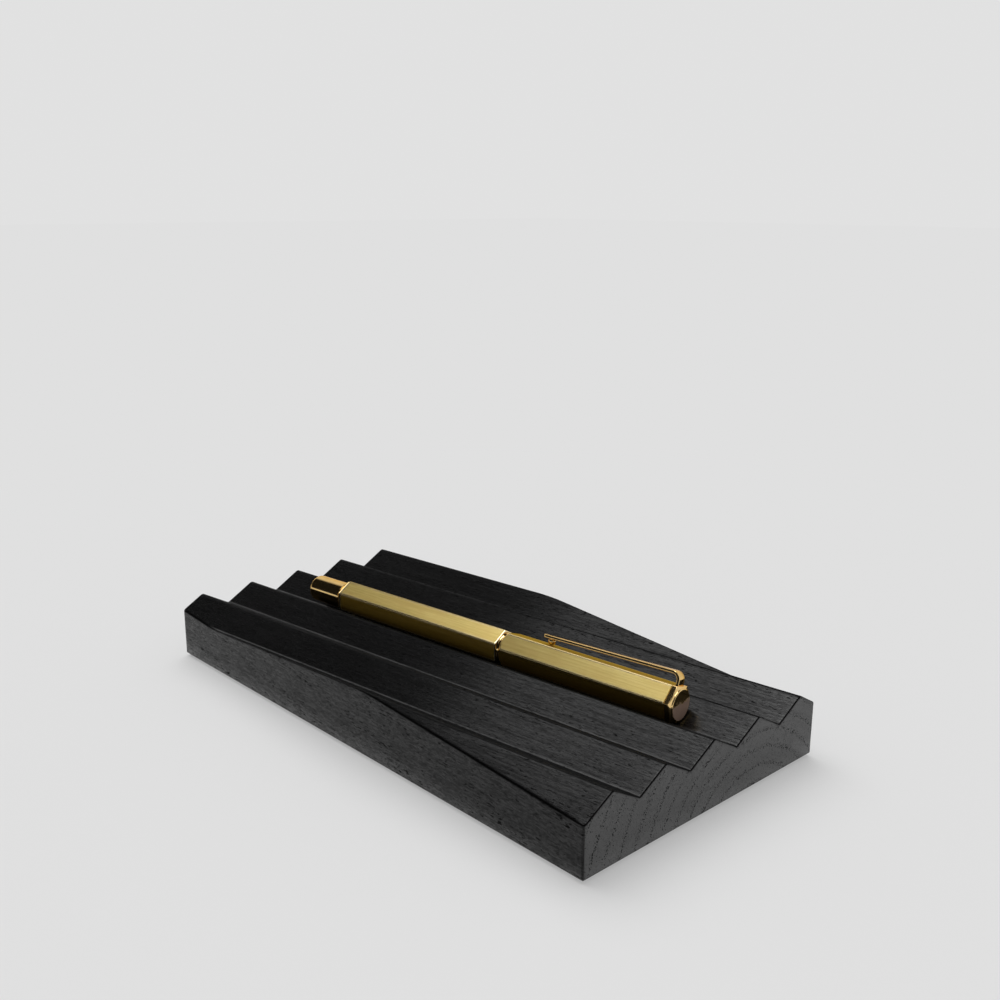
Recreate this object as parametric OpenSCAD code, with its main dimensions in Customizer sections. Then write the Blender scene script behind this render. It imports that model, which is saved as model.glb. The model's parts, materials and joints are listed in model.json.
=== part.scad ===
// Desk pen rest: a wooden block with slanting V grooves, and the capped six-sided
// metal fountain pen that lies in its middle groove.
// Millimetres. The origin is at the middle of the block's footprint, on the desk.
// X runs along the block, Y across it, Z up.

/* [Block] */
// Length of the wooden block
block_length = 180; // [165:1:220]
// Width of the block
block_width = 91; // [80:1:110]
// Height of the block, from its underside to the flat on each crest
block_height = 19.3; // [17:0.1:28]
// Chamfer down each upright corner
corner_chamfer = 0.8; // [0.4:0.1:2]
// Chamfer round the underside
base_chamfer = 0.7; // [0.4:0.1:1.5]

/* [Grooves] */
// Distance from one groove to the next, square to the grooves
groove_pitch = 18.48; // [16:0.02:22]
// Turn of the grooves from the block's long sides, in degrees
groove_angle = 6.6; // [3:0.1:9]
// Slope of each groove side, in degrees
groove_slope = 30; // [26:1:34]
// Width of the narrow flat along each crest
crest_flat = 0.6; // [0.3:0.1:1.5]
// Width of the narrow flat along the bottom of each groove
root_flat = 0.4; // [0.2:0.1:1.2]

/* [Foot pads] */
// Diameter of each round pad
pad_d = 12; // [8:1:20]
// Thickness of each pad
pad_t = 1.5; // [1.2:0.1:3]
// How far each pad stands out of its pocket
pad_proud = 0.5; // [0.3:0.1:1]
// Distance of each pad's centre from the two nearest sides
pad_inset = 14; // [11:1:20]

/* [Pen outside] */
// Distance across the flats of the six-sided cap and barrel
pen_flats = 9.6; // [9.4:0.1:11]
// Turn of the pushed-on cap from the barrel's flats, in degrees
cap_roll = 12; // [0:1:30]
// Where the cap's outer end lies, from the block's middle along the groove
cap_end = 74; // [60:1:80]
// Length of the cap's tube
cap_length = 56.2; // [52:0.1:62]
// Space from the cap's mouth to the barrel's mouth, which the ring fills
joint_space = 0.9; // [0.8:0.1:2]
// Length of the barrel's tube
barrel_length = 68; // [64:0.1:76]
// Length of the round tail piece that closes the barrel
tail_length = 14; // [10:0.1:18]
// Bevel round the barrel's end, next to the tail
tube_bevel = 0.45; // [0.2:0.05:0.6]
// Bevel round the barrel's mouth
mouth_bevel = 0.3; // [0.15:0.05:0.4]
// Length of the turned chamfer at the corners of the cap's mouth
mouth_chamfer = 1.3; // [0.8:0.1:2]

/* [End plate and clip] */
// Thickness of the plate that closes the cap
plate_t = 2.2; // [2:0.1:3]
// Diameter of the plate's round outer face
plate_face_d = 8.8; // [8:0.1:9.2]
// Slope of the plate's chamfer, from its face
plate_bevel_angle = 26; // [20:1:35]
// Bevel round the edge of the plate's outer face
plate_rim = 0.35; // [0.2:0.05:0.5]
// Width of the clip's strip
clip_w = 3; // [2:0.1:3.4]
// Thickness of the clip's strip
clip_t = 0.85; // [0.8:0.05:1.1]
// Length of the clip, from the outside of its leg to its tip
clip_length = 45.3; // [38:0.1:48]
// Height of the strip's underside over the flat that it lies along, at the bend
clip_rise = 2.7; // [2.5:0.05:3.2]
// Fall of the strip towards its tip, in degrees
clip_fall = 1.2; // [0.8:0.1:1.4]
// Inside radius of the clip's bend
clip_bend = 1.6; // [0.8:0.1:1.8]
// Depth of the clip's foot in the plate
clip_foot = 1.3; // [1:0.1:2]
// Diameter of the ball under the clip's tip
ball_d = 2.3; // [2.2:0.05:2.4]
// Distance of the ball from the clip's tip
ball_inset = 2.8; // [2.4:0.1:6]

/* [Cap inside] */
// Thinnest wall of the cap's tube, at the middle of a flat
cap_wall = 0.6; // [0.5:0.05:0.8]
// Length of the bush in the cap's end
bush_length = 5.5; // [4.5:0.1:7]
// Diameter of the plate's screw stud
stud_d = 3; // [2.5:0.1:3.6]
// Length of the sleeve that grips the section
sleeve_length = 12; // [8:0.5:14]
// Wall of that sleeve
sleeve_wall = 0.3; // [0.25:0.05:0.4]
// Wall of the cap's plastic liner
liner_wall = 0.45; // [0.35:0.05:0.55]
// Free space between the nib's point and the liner's end
nib_clear = 1.5; // [1:0.1:3]

/* [Section and nib] */
// Length of the section, from its flange to its lip
section_length = 27; // [24:0.5:30]
// Length of the threaded tail of the section
thread_length = 9.5; // [8:0.5:12]
// Diameter of the grip at its narrowest
grip_d = 6.3; // [6.1:0.1:6.6]
// Thickness of the section's flange
flange_t = 0.5; // [0.4:0.1:0.7]
// Thickness of the seal ring's cord
seal_t = 0.8; // [0.6:0.05:1]
// Thickness of the nib's sheet
nib_t = 0.3; // [0.25:0.05:0.4]
// Width of the nib at its shoulders
nib_w = 6.2; // [5.4:0.1:6.4]
// Diameter of the feed
feed_d = 3.5; // [3.2:0.1:3.7]
// Wall of the collar that holds the nib and the feed
nib_collar_wall = 0.45; // [0.35:0.05:0.55]
// Number of fins on the feed
fin_count = 9; // [5:1:11]

/* [Barrel and converter] */
// Thinnest wall of the barrel's tube, at the middle of a flat
barrel_wall = 0.8; // [0.75:0.05:0.9]
// Thickness of the barrel's closed end
barrel_floor = 3; // [2.5:0.1:4]
// Wall of the barrel's threaded insert
insert_wall = 0.45; // [0.35:0.05:0.55]
// Diameter of the tail where it meets the barrel
tail_d = 8.5; // [7:0.1:9]
// Diameter of the tail at its free end
tail_tip_d = 8.3; // [6.6:0.1:9]
// Diameter of the screw that holds the tail
tail_screw_d = 4; // [3:0.1:4.5]
// Outside diameter of the converter's clear tube
ink_tube_d = 6.4; // [6:0.1:6.6]
// Wall of the clear tube
ink_tube_wall = 0.55; // [0.45:0.05:0.7]
// Length of the metal band that holds the knob
band_length = 8; // [6:0.5:10]
// Length of the knob's grip
knob_length = 19.3; // [16:0.1:22]
// Length of the piston's rubber seal
piston_length = 4; // [3:0.1:5]
// Diameter of the piston's rod
rod_d = 2.2; // [1.8:0.1:2.6]
// Number of grip flutes on the knob
flute_count = 12; // [8:1:16]

/* [Hidden] */

ROUND = 96;            // facets asked for on every turned surface
SEAT_GAP = 0.15;       // space between the pen and the groove
FIT_GAP = 0.05;        // radial space of a fixed or friction fit
RUN_GAP = 0.15;        // space round a piece that moves in another
END_GAP = 0.2;         // space at the end of a piece that stops short
EDGE_BREAK = 0.15;     // small bevel that takes the sharpness off a tube's end
SPARE = 1;             // length by which a cutter or a blank passes the piece that it shapes
GROOVES_TO_EDGE = 3;   // grooves drawn to each side of the middle one, some of them past the block

// ---- block -----------------------------------------------------------------
block_z = pad_proud;                              // underside of the block
crest_z = block_z + block_height;                 // flat on each crest
groove_depth = groove_pitch / 2 * tan(groove_slope);
root_rise = root_flat / 2 * tan(groove_slope);
apex_z = crest_z + crest_flat / 2 * tan(groove_slope) - groove_depth;  // where a groove's sides would meet
root_z = apex_z + root_rise;                      // floor of each groove

// ---- pen stations, along the pen's own X -----------------------------------
corner_r = pen_flats / sqrt(3);                   // radius to a corner of the six sides
pen_reach = max(reach_to_slope(0), reach_to_slope(cap_roll));
axis_z = max(root_z + corner_r, apex_z + pen_reach / cos(groove_slope)) + SEAT_GAP;
plate_x = cap_end - plate_t;                      // inner face of the end plate
cap_mouth = plate_x - cap_length;
barrel_mouth = cap_mouth - joint_space;
barrel_end = barrel_mouth - barrel_length;
tail_end = barrel_end - tail_length;
MOUTH_GAP = 0.12;                                 // space at each side of the centre ring
ring_left = barrel_mouth + MOUTH_GAP;
ring_right = cap_mouth - MOUTH_GAP;
ring_d = pen_flats - 0.5;                         // diameter of that ring

// The angle between a direction and the nearest corner of a six-sided bar, when the
// direction lies at an angle from one of its corners.
function off_corner(angle) = abs((angle % 60 + 90) % 60 - 30);

// How far a six-sided bar that is rolled by an angle reaches towards the groove's sides.
function reach_to_slope(roll) = corner_r * max(
    cos(off_corner(groove_slope - roll)),
    cos(off_corner(groove_slope + roll))
);

// ---- cap -------------------------------------------------------------------
cap_bore = pen_flats - 2 * cap_wall;
lining_d = cap_bore - 2 * FIT_GAP;                // outside of everything that lines the cap
sleeve_start = ring_right + flange_t + END_GAP;
sleeve_end = sleeve_start + sleeve_length;
sleeve_bore = lining_d - 2 * sleeve_wall;
liner_bore = lining_d - 2 * liner_wall;
bush_start = plate_x - bush_length;
LINER_END_T = 1;                                  // thickness of the liner's closed end
liner_floor = bush_start - LINER_END_T;
stud_length = bush_length - 1;

// ---- clip ------------------------------------------------------------------
leg_x = plate_x + RUN_GAP;                        // inner face of the clip's leg
flat_r = pen_flats / 2;                           // height of a flat over the pen's axis
clip_low = flat_r + clip_rise;                    // underside of the strip at the bend
clip_tip = leg_x + clip_t - clip_length;
arm_x = leg_x - clip_bend;                        // where the bend meets the arm
ball_x = clip_tip + ball_inset;
ball_z = flat_r + FIT_GAP + ball_d / 2;

// ---- section and nib -------------------------------------------------------
flange_d = cap_bore - 4 * FIT_GAP;
shoulder_d = sleeve_bore - 2 * FIT_GAP;
SHOULDER_LENGTH = 4.5;                            // the length that the sleeve grips
shoulder_end = ring_right + flange_t + SHOULDER_LENGTH;
lip_x = ring_right + section_length;              // the section's open end
lip_d = grip_d + 0.4;
grip_back_d = min(shoulder_d - 0.3, liner_bore + 0.1);
thread_d = shoulder_d - 0.2;                      // the section's threaded tail
thread_end = ring_left - thread_length;
seal_x = ring_right + flange_t + SHOULDER_LENGTH / 2;
seal_groove_d = shoulder_d - 2 * seal_t + 0.1;
nib_ring_r = feed_d / 2 + FIT_GAP;                // inside of the nib's round tang
nib_outer_r = nib_ring_r + nib_t;
collar_bore = 2 * (nib_outer_r + FIT_GAP);
collar_d = collar_bore + 2 * nib_collar_wall;
COLLAR_LENGTH = 17;                               // the nib collar's length, behind the lip
collar_start = lip_x - COLLAR_LENGTH;
nib_point = liner_floor - nib_clear;
nib_shoulder = lip_x + (nib_point - lip_x) * 0.28; // where the nib is widest
GRIP_WAIST = 4;                                   // distance of the grip's waist from the lip
LIP_BEAD = 1;                                     // length of the raised lip
COLLAR_SET = 0.4;                                 // how far the nib collar stops short of the lip
NIB_BLADE_R = 3.6;                                // radius that the blade is rolled to
NIB_TILT = 4;                                     // fall of the blade towards its point, in degrees
NIB_TAIL_SET = 4;                                 // how far the nib's tang stops short of the collar's end
NIB_TAIL_LOW = 0.2;                               // height of the tang's edges over the axis
BREATHER_INSET = 0.8;                             // distance of the breather hole from the shoulder
BREATHER_D = 1.1;
SLIT_W = 0.12;
BEAK_SET = 4;                                     // how far the feed stops short of the nib's point
BEAK_BREAK = 0.55;                                // share of the beak before its underside rises
FEED_TIP_T = 0.9;                                 // thickness of the feed at its tip
FEED_CHANNEL_D = 0.9;
FIN_START = 0.8;                                  // distance of the first fin cut from the lip
FINNED_SHARE = 0.62;                              // share of the beak that carries fins
FIN_CUT_SHARE = 0.42;                             // share of each fin's space that is cut away
FIN_CUT_DEPTH = 0.78;                             // depth of the cuts, as a share of the diameter

// ---- barrel and converter --------------------------------------------------
barrel_bore = pen_flats - 2 * barrel_wall;
barrel_floor_x = barrel_end + barrel_floor;
insert_bore = thread_d + 2 * FIT_GAP;
insert_d = insert_bore + 2 * insert_wall;
insert_seat_d = insert_d + 2 * FIT_GAP;
socket_d = thread_d - 1.5;                        // where the converter's mouth plugs in
SOCKET_DEPTH = 8;                                 // depth of that socket
socket_floor = thread_end + SOCKET_DEPTH;
ink_channel_d = 2.4;                              // ink way through the section
mouth_d = socket_d - 2 * FIT_GAP;                 // the converter's plug
fitting_d = barrel_bore - 4 * RUN_GAP;            // converter's metal fittings, clear of the barrel
ink_tube_start = thread_end - END_GAP - 0.8;      // front of the clear tube
FITTING_GRIP = 4;                                 // length of tube that each fitting holds
knob_end = barrel_floor_x + END_GAP + 0.3;        // back of the knob
knob_grip_start = knob_end + knob_length;
band_start = knob_grip_start + END_GAP;           // back of the metal band
band_end = band_start + band_length;              // front of the band, round the clear tube
BAND_NECK = 3.5;                                  // the back part of the band, which holds the knob's neck
ink_tube_end = band_start + BAND_NECK;
ink_tube_bore = ink_tube_d - 2 * ink_tube_wall;
knob_d = fitting_d - 0.4;
KNOB_NECK_D = 4.6;                                // the knob's neck, inside the band and the tube
KNOB_BEVEL = 0.6;
FLUTE_D = 0.9;                                    // diameter of the cutter for a grip flute
FLUTE_OUT = 0.25;                                 // how far the cutter's middle stands off the knob
FLUTE_SET = 2;                                    // distance of the flutes from the grip's ends
knob_neck_end = ink_tube_end + 2.5;
knob_bore = rod_d + 2 * RUN_GAP;
knob_floor = knob_end + 1;
piston_front = ink_tube_start - 2;
ROD_IN_KNOB = 4;                                  // rod left inside the knob when the piston is forward
rod_end = knob_neck_end - ROD_IN_KNOB;
piston_travel = rod_end - knob_floor - END_GAP;

// ---- colours ---------------------------------------------------------------
BLACK_WOOD = [0.06, 0.06, 0.065];
SATIN_BRASS = [0.71, 0.62, 0.33];
BRIGHT_BRASS = [0.86, 0.69, 0.36];
STEEL = [0.75, 0.76, 0.78];
BLACK_PLASTIC = [0.05, 0.05, 0.05];
CLEAR = [0.85, 0.9, 0.92, 0.45];
FELT = [0.12, 0.12, 0.13];
RUBBER = [0.1, 0.1, 0.1];

// ---- shared shapes ---------------------------------------------------------

// Puts a piece that is drawn along the pen's axis into the middle groove.
module in_groove() {
    translate([0, 0, axis_z]) rotate([0, 0, groove_angle]) children();
}

// The same for a piece of the cap, which is rolled with the cap.
module on_cap() {
    in_groove() rotate([cap_roll, 0, 0]) children();
}

// The clip stands on the flat behind the cap's top corner: there Z points out of it.
module on_clip_flat() {
    on_cap() rotate([-30, 0, 0]) children();
}

// A turned piece: profile points are [radius, station along the pen].
module turned(profile) {
    rotate([0, 90, 0]) rotate_extrude($fn = ROUND) polygon(profile);
}

// A round rod or bore along the pen's axis.
module rod(d, from, to) {
    translate([from, 0, 0]) rotate([0, 90, 0]) cylinder(d = d, h = to - from, $fn = ROUND);
}

// A tube along the pen's axis, with flat ends.
module tube(outer, inner, from, to) {
    turned([[inner / 2, from], [outer / 2, from], [outer / 2, to], [inner / 2, to]]);
}

// A six-sided bar with a corner at its top and an even bevel round each end.
module six_sided(flats, from, to, bevel_from, bevel_to) {
    rings = [
        [from, flats / 2 - bevel_from], [from + bevel_from, flats / 2],
        [to - bevel_to, flats / 2], [to, flats / 2 - bevel_to]
    ];
    points = [
        for (ring = rings, i = [0:5])
            let (r = ring[1] / cos(30))
            [ring[0], -r * sin(60 * i), r * cos(60 * i)]
    ];
    walls = [
        for (first = [0, 6, 12], i = [0:5])
            let (next = (i + 1) % 6)
            [first + i, first + 6 + i, first + 6 + next, first + next]
    ];
    polyhedron(points, concat([[0, 1, 2, 3, 4, 5]], walls, [[23, 22, 21, 20, 19, 18]]));
}

// Points on an arc about centre, from one angle to another.
function arc(centre, r, from, to, steps) = [
    for (i = [0:steps])
        let (a = from + (to - from) * i / steps) centre + r * [cos(a), sin(a)]
];

// A rectangle of the block's plan with its upper face past the crests and a
// chamfer along its two lower edges, as seen from one side.
function side_outline(width) = [
    [-width / 2, block_z + base_chamfer], [-width / 2 + base_chamfer, block_z],
    [width / 2 - base_chamfer, block_z], [width / 2, block_z + base_chamfer],
    [width / 2, crest_z + 1], [-width / 2, crest_z + 1]
];

// The middles of the four foot pads, by the signs of their X and Y.
function pad_place(sign_x, sign_y) = [
    sign_x * (block_length / 2 - pad_inset),
    sign_y * (block_width / 2 - pad_inset),
    0
];

// ---- wooden block ----------------------------------------------------------

// The zigzag across the grooves: two points at each groove's floor, two at each crest.
function zigzag() = [
    for (i = [-GROOVES_TO_EDGE:GROOVES_TO_EDGE])
        let (y = i * groove_pitch)
        each [
            [y - root_flat / 2, root_z], [y + root_flat / 2, root_z],
            [y + (groove_pitch - crest_flat) / 2, crest_z],
            [y + (groove_pitch + crest_flat) / 2, crest_z]
        ]
];

module grooved_slab() {
    reach = (GROOVES_TO_EDGE + 1) * groove_pitch;
    rotate([0, 0, groove_angle]) rotate([90, 0, 90])
        linear_extrude(2 * block_length, center = true)
            polygon(concat([[-reach, 0], [-reach, root_z]], zigzag(), [[reach, root_z], [reach, 0]]));
}

module block_plan() {
    x = block_length / 2;
    y = block_width / 2;
    c = corner_chamfer;
    polygon([
        [c - x, -y], [x - c, -y], [x, c - y], [x, y - c],
        [x - c, y], [c - x, y], [-x, y - c], [-x, c - y]
    ]);
}

module rest_block() {
    pocket_top = pad_t;
    color(BLACK_WOOD) difference() {
        intersection() {
            grooved_slab();
            linear_extrude(2 * crest_z) block_plan();
            rotate([90, 0, 0])
                linear_extrude(2 * block_width, center = true) polygon(side_outline(block_length));
            rotate([90, 0, 90])
                linear_extrude(2 * block_length, center = true) polygon(side_outline(block_width));
        }
        for (sx = [-1, 1], sy = [-1, 1])
            translate(pad_place(sx, sy) + [0, 0, -1])
                cylinder(d = pad_d + 4 * FIT_GAP, h = pocket_top + 1, $fn = ROUND);
    }
}

module foot_pad(sign_x, sign_y) {
    color(FELT) translate(pad_place(sign_x, sign_y)) cylinder(d = pad_d, h = pad_t, $fn = ROUND);
}

// ---- cap -------------------------------------------------------------------

// The corners of its mouth are turned off to a cone.
module cap_shell() {
    mouth_r = flat_r - EDGE_BREAK;
    outer_r = corner_r + SPARE;
    cone_x = cap_mouth + mouth_chamfer * (outer_r - mouth_r) / (corner_r - mouth_r);
    color(SATIN_BRASS) on_cap() difference() {
        intersection() {
            six_sided(pen_flats, cap_mouth - SPARE, plate_x, SPARE / 2, EDGE_BREAK);
            turned([
                [0, cap_mouth], [mouth_r, cap_mouth], [outer_r, cone_x],
                [outer_r, plate_x + SPARE], [0, plate_x + SPARE]
            ]);
        }
        rod(cap_bore, cap_mouth - SPARE, plate_x + SPARE);
    }
}

// The plate's screw stud, its six-sided head and the slot for the clip's foot.
module cap_end_plate() {
    face_r = plate_face_d / 2;
    outer_r = corner_r + SPARE;
    rim_x = cap_end - plate_rim;
    edge_x = rim_x - (outer_r - face_r) * tan(plate_bevel_angle);
    color(BRIGHT_BRASS) on_cap() difference() {
        union() {
            intersection() {
                six_sided(pen_flats, plate_x, cap_end + SPARE, EDGE_BREAK, SPARE / 2);
                turned([
                    [0, plate_x - SPARE], [outer_r, plate_x - SPARE], [outer_r, edge_x],
                    [face_r, rim_x], [face_r - plate_rim, cap_end], [0, cap_end]
                ]);
            }
            rod(stud_d, plate_x - stud_length, plate_x + plate_t / 4);
        }
        rotate([-30, 0, 0])
            translate([leg_x - RUN_GAP, -clip_w / 2 - RUN_GAP, flat_r - clip_foot - RUN_GAP])
                cube([clip_t + 2 * RUN_GAP, clip_w + 2 * RUN_GAP, clip_foot + corner_r]);
    }
}

module cap_bush() {
    color(BRIGHT_BRASS) on_cap() tube(lining_d, stud_d + 2 * FIT_GAP, bush_start, plate_x);
}

module cap_liner() {
    start = sleeve_end;
    color(BLACK_PLASTIC) on_cap() turned([
        [0, liner_floor], [liner_bore / 2 - 0.6, liner_floor], [liner_bore / 2, liner_floor - 0.6],
        [liner_bore / 2, start], [lining_d / 2, start], [lining_d / 2, bush_start], [0, bush_start]
    ]);
}

module cap_grip_sleeve() {
    lead = 0.2;
    color(STEEL) on_cap() turned([
        [sleeve_bore / 2 + lead, sleeve_start], [lining_d / 2, sleeve_start],
        [lining_d / 2, sleeve_end], [sleeve_bore / 2, sleeve_end],
        [sleeve_bore / 2, sleeve_start + 2 * lead]
    ]);
}

// ---- clip ------------------------------------------------------------------

// The strip from the side: foot and leg upright, one bend, and an arm that falls
// gently towards its tip.
module clip_side() {
    low = clip_low;
    bend_centre = [arm_x, low - clip_bend];
    drop = (arm_x - clip_tip) * tan(clip_fall);
    polygon(concat(
        [[leg_x, flat_r - clip_foot]],
        arc(bend_centre, clip_bend, 0, 90, 8),
        [[clip_tip, low - drop], [clip_tip, low - drop + clip_t]],
        arc(bend_centre, clip_bend + clip_t, 90, 0, 12),
        [[leg_x + clip_t, flat_r - clip_foot]]
    ));
}

module clip() {
    tip_r = clip_w / 2;
    blank_h = clip_low + clip_t + SPARE;
    color(BRIGHT_BRASS) on_clip_flat() difference() {
        intersection() {
            rotate([90, 0, 0]) linear_extrude(clip_w, center = true) clip_side();
            union() {
                translate([clip_tip + tip_r, -tip_r, 0]) cube([clip_length, clip_w, blank_h]);
                translate([clip_tip + tip_r, 0, 0]) cylinder(r = tip_r, h = blank_h, $fn = ROUND);
            }
        }
        translate([ball_x, 0, ball_z]) sphere(d = ball_d + 2 * FIT_GAP, $fn = ROUND);
    }
}

module clip_ball() {
    color(BRIGHT_BRASS) on_clip_flat() translate([ball_x, 0, ball_z]) sphere(d = ball_d, $fn = ROUND);
}

// ---- section, nib and feed -------------------------------------------------

module section_grip() {
    waist_x = lip_x - GRIP_WAIST;
    bead_x = lip_x - LIP_BEAD;
    lead = 0.3;
    lip_round = 0.4;
    shoulder_slope = 0.5;
    color(BLACK_PLASTIC) in_groove() difference() {
        turned([
            [0, thread_end], [thread_d / 2 - lead, thread_end], [thread_d / 2, thread_end + lead],
            [thread_d / 2, ring_right], [flange_d / 2, ring_right],
            [flange_d / 2, ring_right + flange_t], [shoulder_d / 2, ring_right + flange_t],
            [shoulder_d / 2, shoulder_end], [grip_back_d / 2, shoulder_end + shoulder_slope],
            [grip_d / 2, waist_x], [lip_d / 2, bead_x], [lip_d / 2, lip_x - lip_round],
            [lip_d / 2 - lip_round, lip_x], [0, lip_x]
        ]);
        rod(socket_d, thread_end - SPARE, socket_floor);
        rod(ink_channel_d, thread_end, lip_x);
        rod(collar_d + 2 * FIT_GAP, collar_start, lip_x + SPARE);
        tube(shoulder_d + SPARE, seal_groove_d, seal_x - seal_t / 2 - FIT_GAP, seal_x + seal_t / 2 + FIT_GAP);
    }
}

module centre_ring() {
    color(BRIGHT_BRASS) in_groove() tube(ring_d, thread_d + 2 * FIT_GAP, ring_left, ring_right);
}

module section_seal_ring() {
    cord_d = seal_t - 2 * FIT_GAP;
    ring_r = seal_groove_d / 2 + FIT_GAP + cord_d / 2;
    color(RUBBER) in_groove() translate([seal_x, 0, 0]) rotate([0, 90, 0])
        rotate_extrude($fn = ROUND) translate([ring_r, 0]) circle(d = cord_d, $fn = 32);
}

module nib_collar() {
    color(BLACK_PLASTIC) in_groove() tube(collar_d, collar_bore, collar_start, lip_x - COLLAR_SET);
}

// The nib seen from above, from the lip to its point.
module nib_plan() {
    blade = nib_point - lip_x;
    polygon([
        [lip_x - 0.2, -nib_outer_r], [lip_x + 0.5, -nib_outer_r],
        [nib_shoulder - 1, 0.15 - nib_w / 2], [nib_shoulder, -nib_w / 2],
        [nib_shoulder + blade * 0.12, 0.25 - nib_w / 2],
        [nib_shoulder + blade * 0.45, -nib_w * 0.23], [nib_point - 0.5, -0.45], [nib_point, -0.3],
        [nib_point, 0.3], [nib_point - 0.5, 0.45], [nib_shoulder + blade * 0.45, nib_w * 0.23],
        [nib_shoulder + blade * 0.12, nib_w / 2 - 0.25],
        [nib_shoulder, nib_w / 2], [nib_shoulder - 1, nib_w / 2 - 0.15],
        [lip_x + 0.5, nib_outer_r], [lip_x - 0.2, nib_outer_r]
    ]);
}

// Turns the blade down about the top of the lip, so that its point nears the axis.
module tilted_blade() {
    translate([lip_x, 0, nib_outer_r]) rotate([0, NIB_TILT, 0]) translate([-lip_x, 0, -nib_outer_r])
        children();
}

module nib_blade_tube(r) {
    translate([0, 0, nib_outer_r - NIB_BLADE_R]) rod(2 * r, lip_x - 0.2, nib_point + 1);
}

module nib() {
    hole_x = nib_shoulder + BREATHER_INSET;
    color(STEEL) in_groove() difference() {
        union() {
            intersection() {
                tube(2 * nib_outer_r, 2 * nib_ring_r, collar_start + NIB_TAIL_SET, lip_x);
                translate([0, -nib_outer_r, NIB_TAIL_LOW])
                    cube([nib_point, 2 * nib_outer_r, nib_outer_r]);
            }
            tilted_blade() intersection() {
                difference() {
                    nib_blade_tube(NIB_BLADE_R);
                    nib_blade_tube(NIB_BLADE_R - nib_t);
                }
                linear_extrude(nib_outer_r + 1) nib_plan();
            }
        }
        tilted_blade() {
            translate([hole_x, 0, 0]) cylinder(d = BREATHER_D, h = 2 * nib_outer_r, $fn = ROUND);
            translate([hole_x, -SLIT_W / 2, 0]) cube([nib_point, SLIT_W, 2 * nib_outer_r]);
        }
    }
}

module feed() {
    beak_end = nib_point - BEAK_SET;
    beak = beak_end - lip_x;
    under_blade = nib_outer_r - nib_t - beak * tan(NIB_TILT);
    fin_space = beak * FINNED_SHARE / fin_count;
    color(BLACK_PLASTIC) in_groove() difference() {
        union() {
            rod(feed_d, collar_start, lip_x);
            intersection() {
                rod(feed_d, lip_x - 0.1, beak_end);
                tilted_blade() nib_blade_tube(NIB_BLADE_R - nib_t - FIT_GAP);
                rotate([90, 0, 0]) linear_extrude(feed_d, center = true) polygon([
                    [lip_x - 0.1, -feed_d / 2], [lip_x + beak * BEAK_BREAK, -feed_d / 2],
                    [beak_end, under_blade - FEED_TIP_T], [beak_end, feed_d / 2],
                    [lip_x - 0.1, feed_d / 2]
                ]);
            }
        }
        for (i = [0:fin_count - 1])
            translate([lip_x + FIN_START + i * fin_space, -feed_d, -feed_d])
                cube([fin_space * FIN_CUT_SHARE, 2 * feed_d, feed_d * FIN_CUT_DEPTH]);
        rod(FEED_CHANNEL_D, collar_start - SPARE, lip_x);
    }
}

// ---- barrel ----------------------------------------------------------------

module barrel_shell() {
    color(SATIN_BRASS) in_groove() difference() {
        six_sided(pen_flats, barrel_end, barrel_mouth, tube_bevel, mouth_bevel);
        rod(barrel_bore, barrel_floor_x, barrel_mouth + SPARE);
        rod(insert_seat_d, thread_end - END_GAP, barrel_mouth + SPARE);
        rod(tail_screw_d + 2 * FIT_GAP, barrel_end - SPARE, barrel_floor_x + SPARE);
    }
}

module barrel_insert() {
    color(BRIGHT_BRASS) in_groove() tube(insert_d, insert_bore, thread_end, barrel_mouth - END_GAP);
}

module tail_piece() {
    round_r = 1;
    tip_r = tail_tip_d / 2;
    color(BRIGHT_BRASS) in_groove() turned(concat(
        [[0, barrel_floor_x - END_GAP], [tail_screw_d / 2, barrel_floor_x - END_GAP],
         [tail_screw_d / 2, barrel_end], [tail_d / 2, barrel_end]],
        arc([tip_r - round_r, tail_end + round_r], round_r, 0, -90, 6),
        [[0, tail_end]]
    ));
}

// ---- converter -------------------------------------------------------------

module converter_mouth() {
    grip_start = ink_tube_start - FITTING_GRIP;
    color(STEEL) in_groove() turned([
        [1, socket_floor - END_GAP], [mouth_d / 2 - 0.3, socket_floor - END_GAP],
        [mouth_d / 2, socket_floor - END_GAP - 0.5], [mouth_d / 2, thread_end - END_GAP],
        [fitting_d / 2, thread_end - END_GAP], [fitting_d / 2, grip_start],
        [ink_tube_d / 2 + FIT_GAP, grip_start], [ink_tube_d / 2 + FIT_GAP, ink_tube_start],
        [1, ink_tube_start]
    ]);
}

module converter_tube() {
    color(CLEAR) in_groove() tube(ink_tube_d, ink_tube_bore, ink_tube_end, ink_tube_start);
}

module converter_band() {
    hold_r = KNOB_NECK_D / 2 + RUN_GAP;
    color(STEEL) in_groove() turned([
        [hold_r, band_start], [fitting_d / 2, band_start], [fitting_d / 2, band_end],
        [ink_tube_d / 2 + FIT_GAP, band_end], [ink_tube_d / 2 + FIT_GAP, ink_tube_end],
        [hold_r, ink_tube_end]
    ]);
}

module converter_knob() {
    color(BLACK_PLASTIC) in_groove() difference() {
        turned([
            [0, knob_end], [knob_d / 2 - KNOB_BEVEL, knob_end], [knob_d / 2, knob_end + KNOB_BEVEL],
            [knob_d / 2, knob_grip_start], [KNOB_NECK_D / 2, knob_grip_start],
            [KNOB_NECK_D / 2, knob_neck_end], [0, knob_neck_end]
        ]);
        rod(knob_bore, knob_floor, knob_neck_end + SPARE);
        for (i = [0:flute_count - 1])
            rotate([360 / flute_count * i, 0, 0]) translate([0, 0, knob_d / 2 + FLUTE_OUT])
                rod(FLUTE_D, knob_end + FLUTE_SET, knob_grip_start - FLUTE_SET);
    }
}

module converter_rod() {
    color(STEEL) in_groove() rod(rod_d, rod_end, piston_front - piston_length);
}

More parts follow.
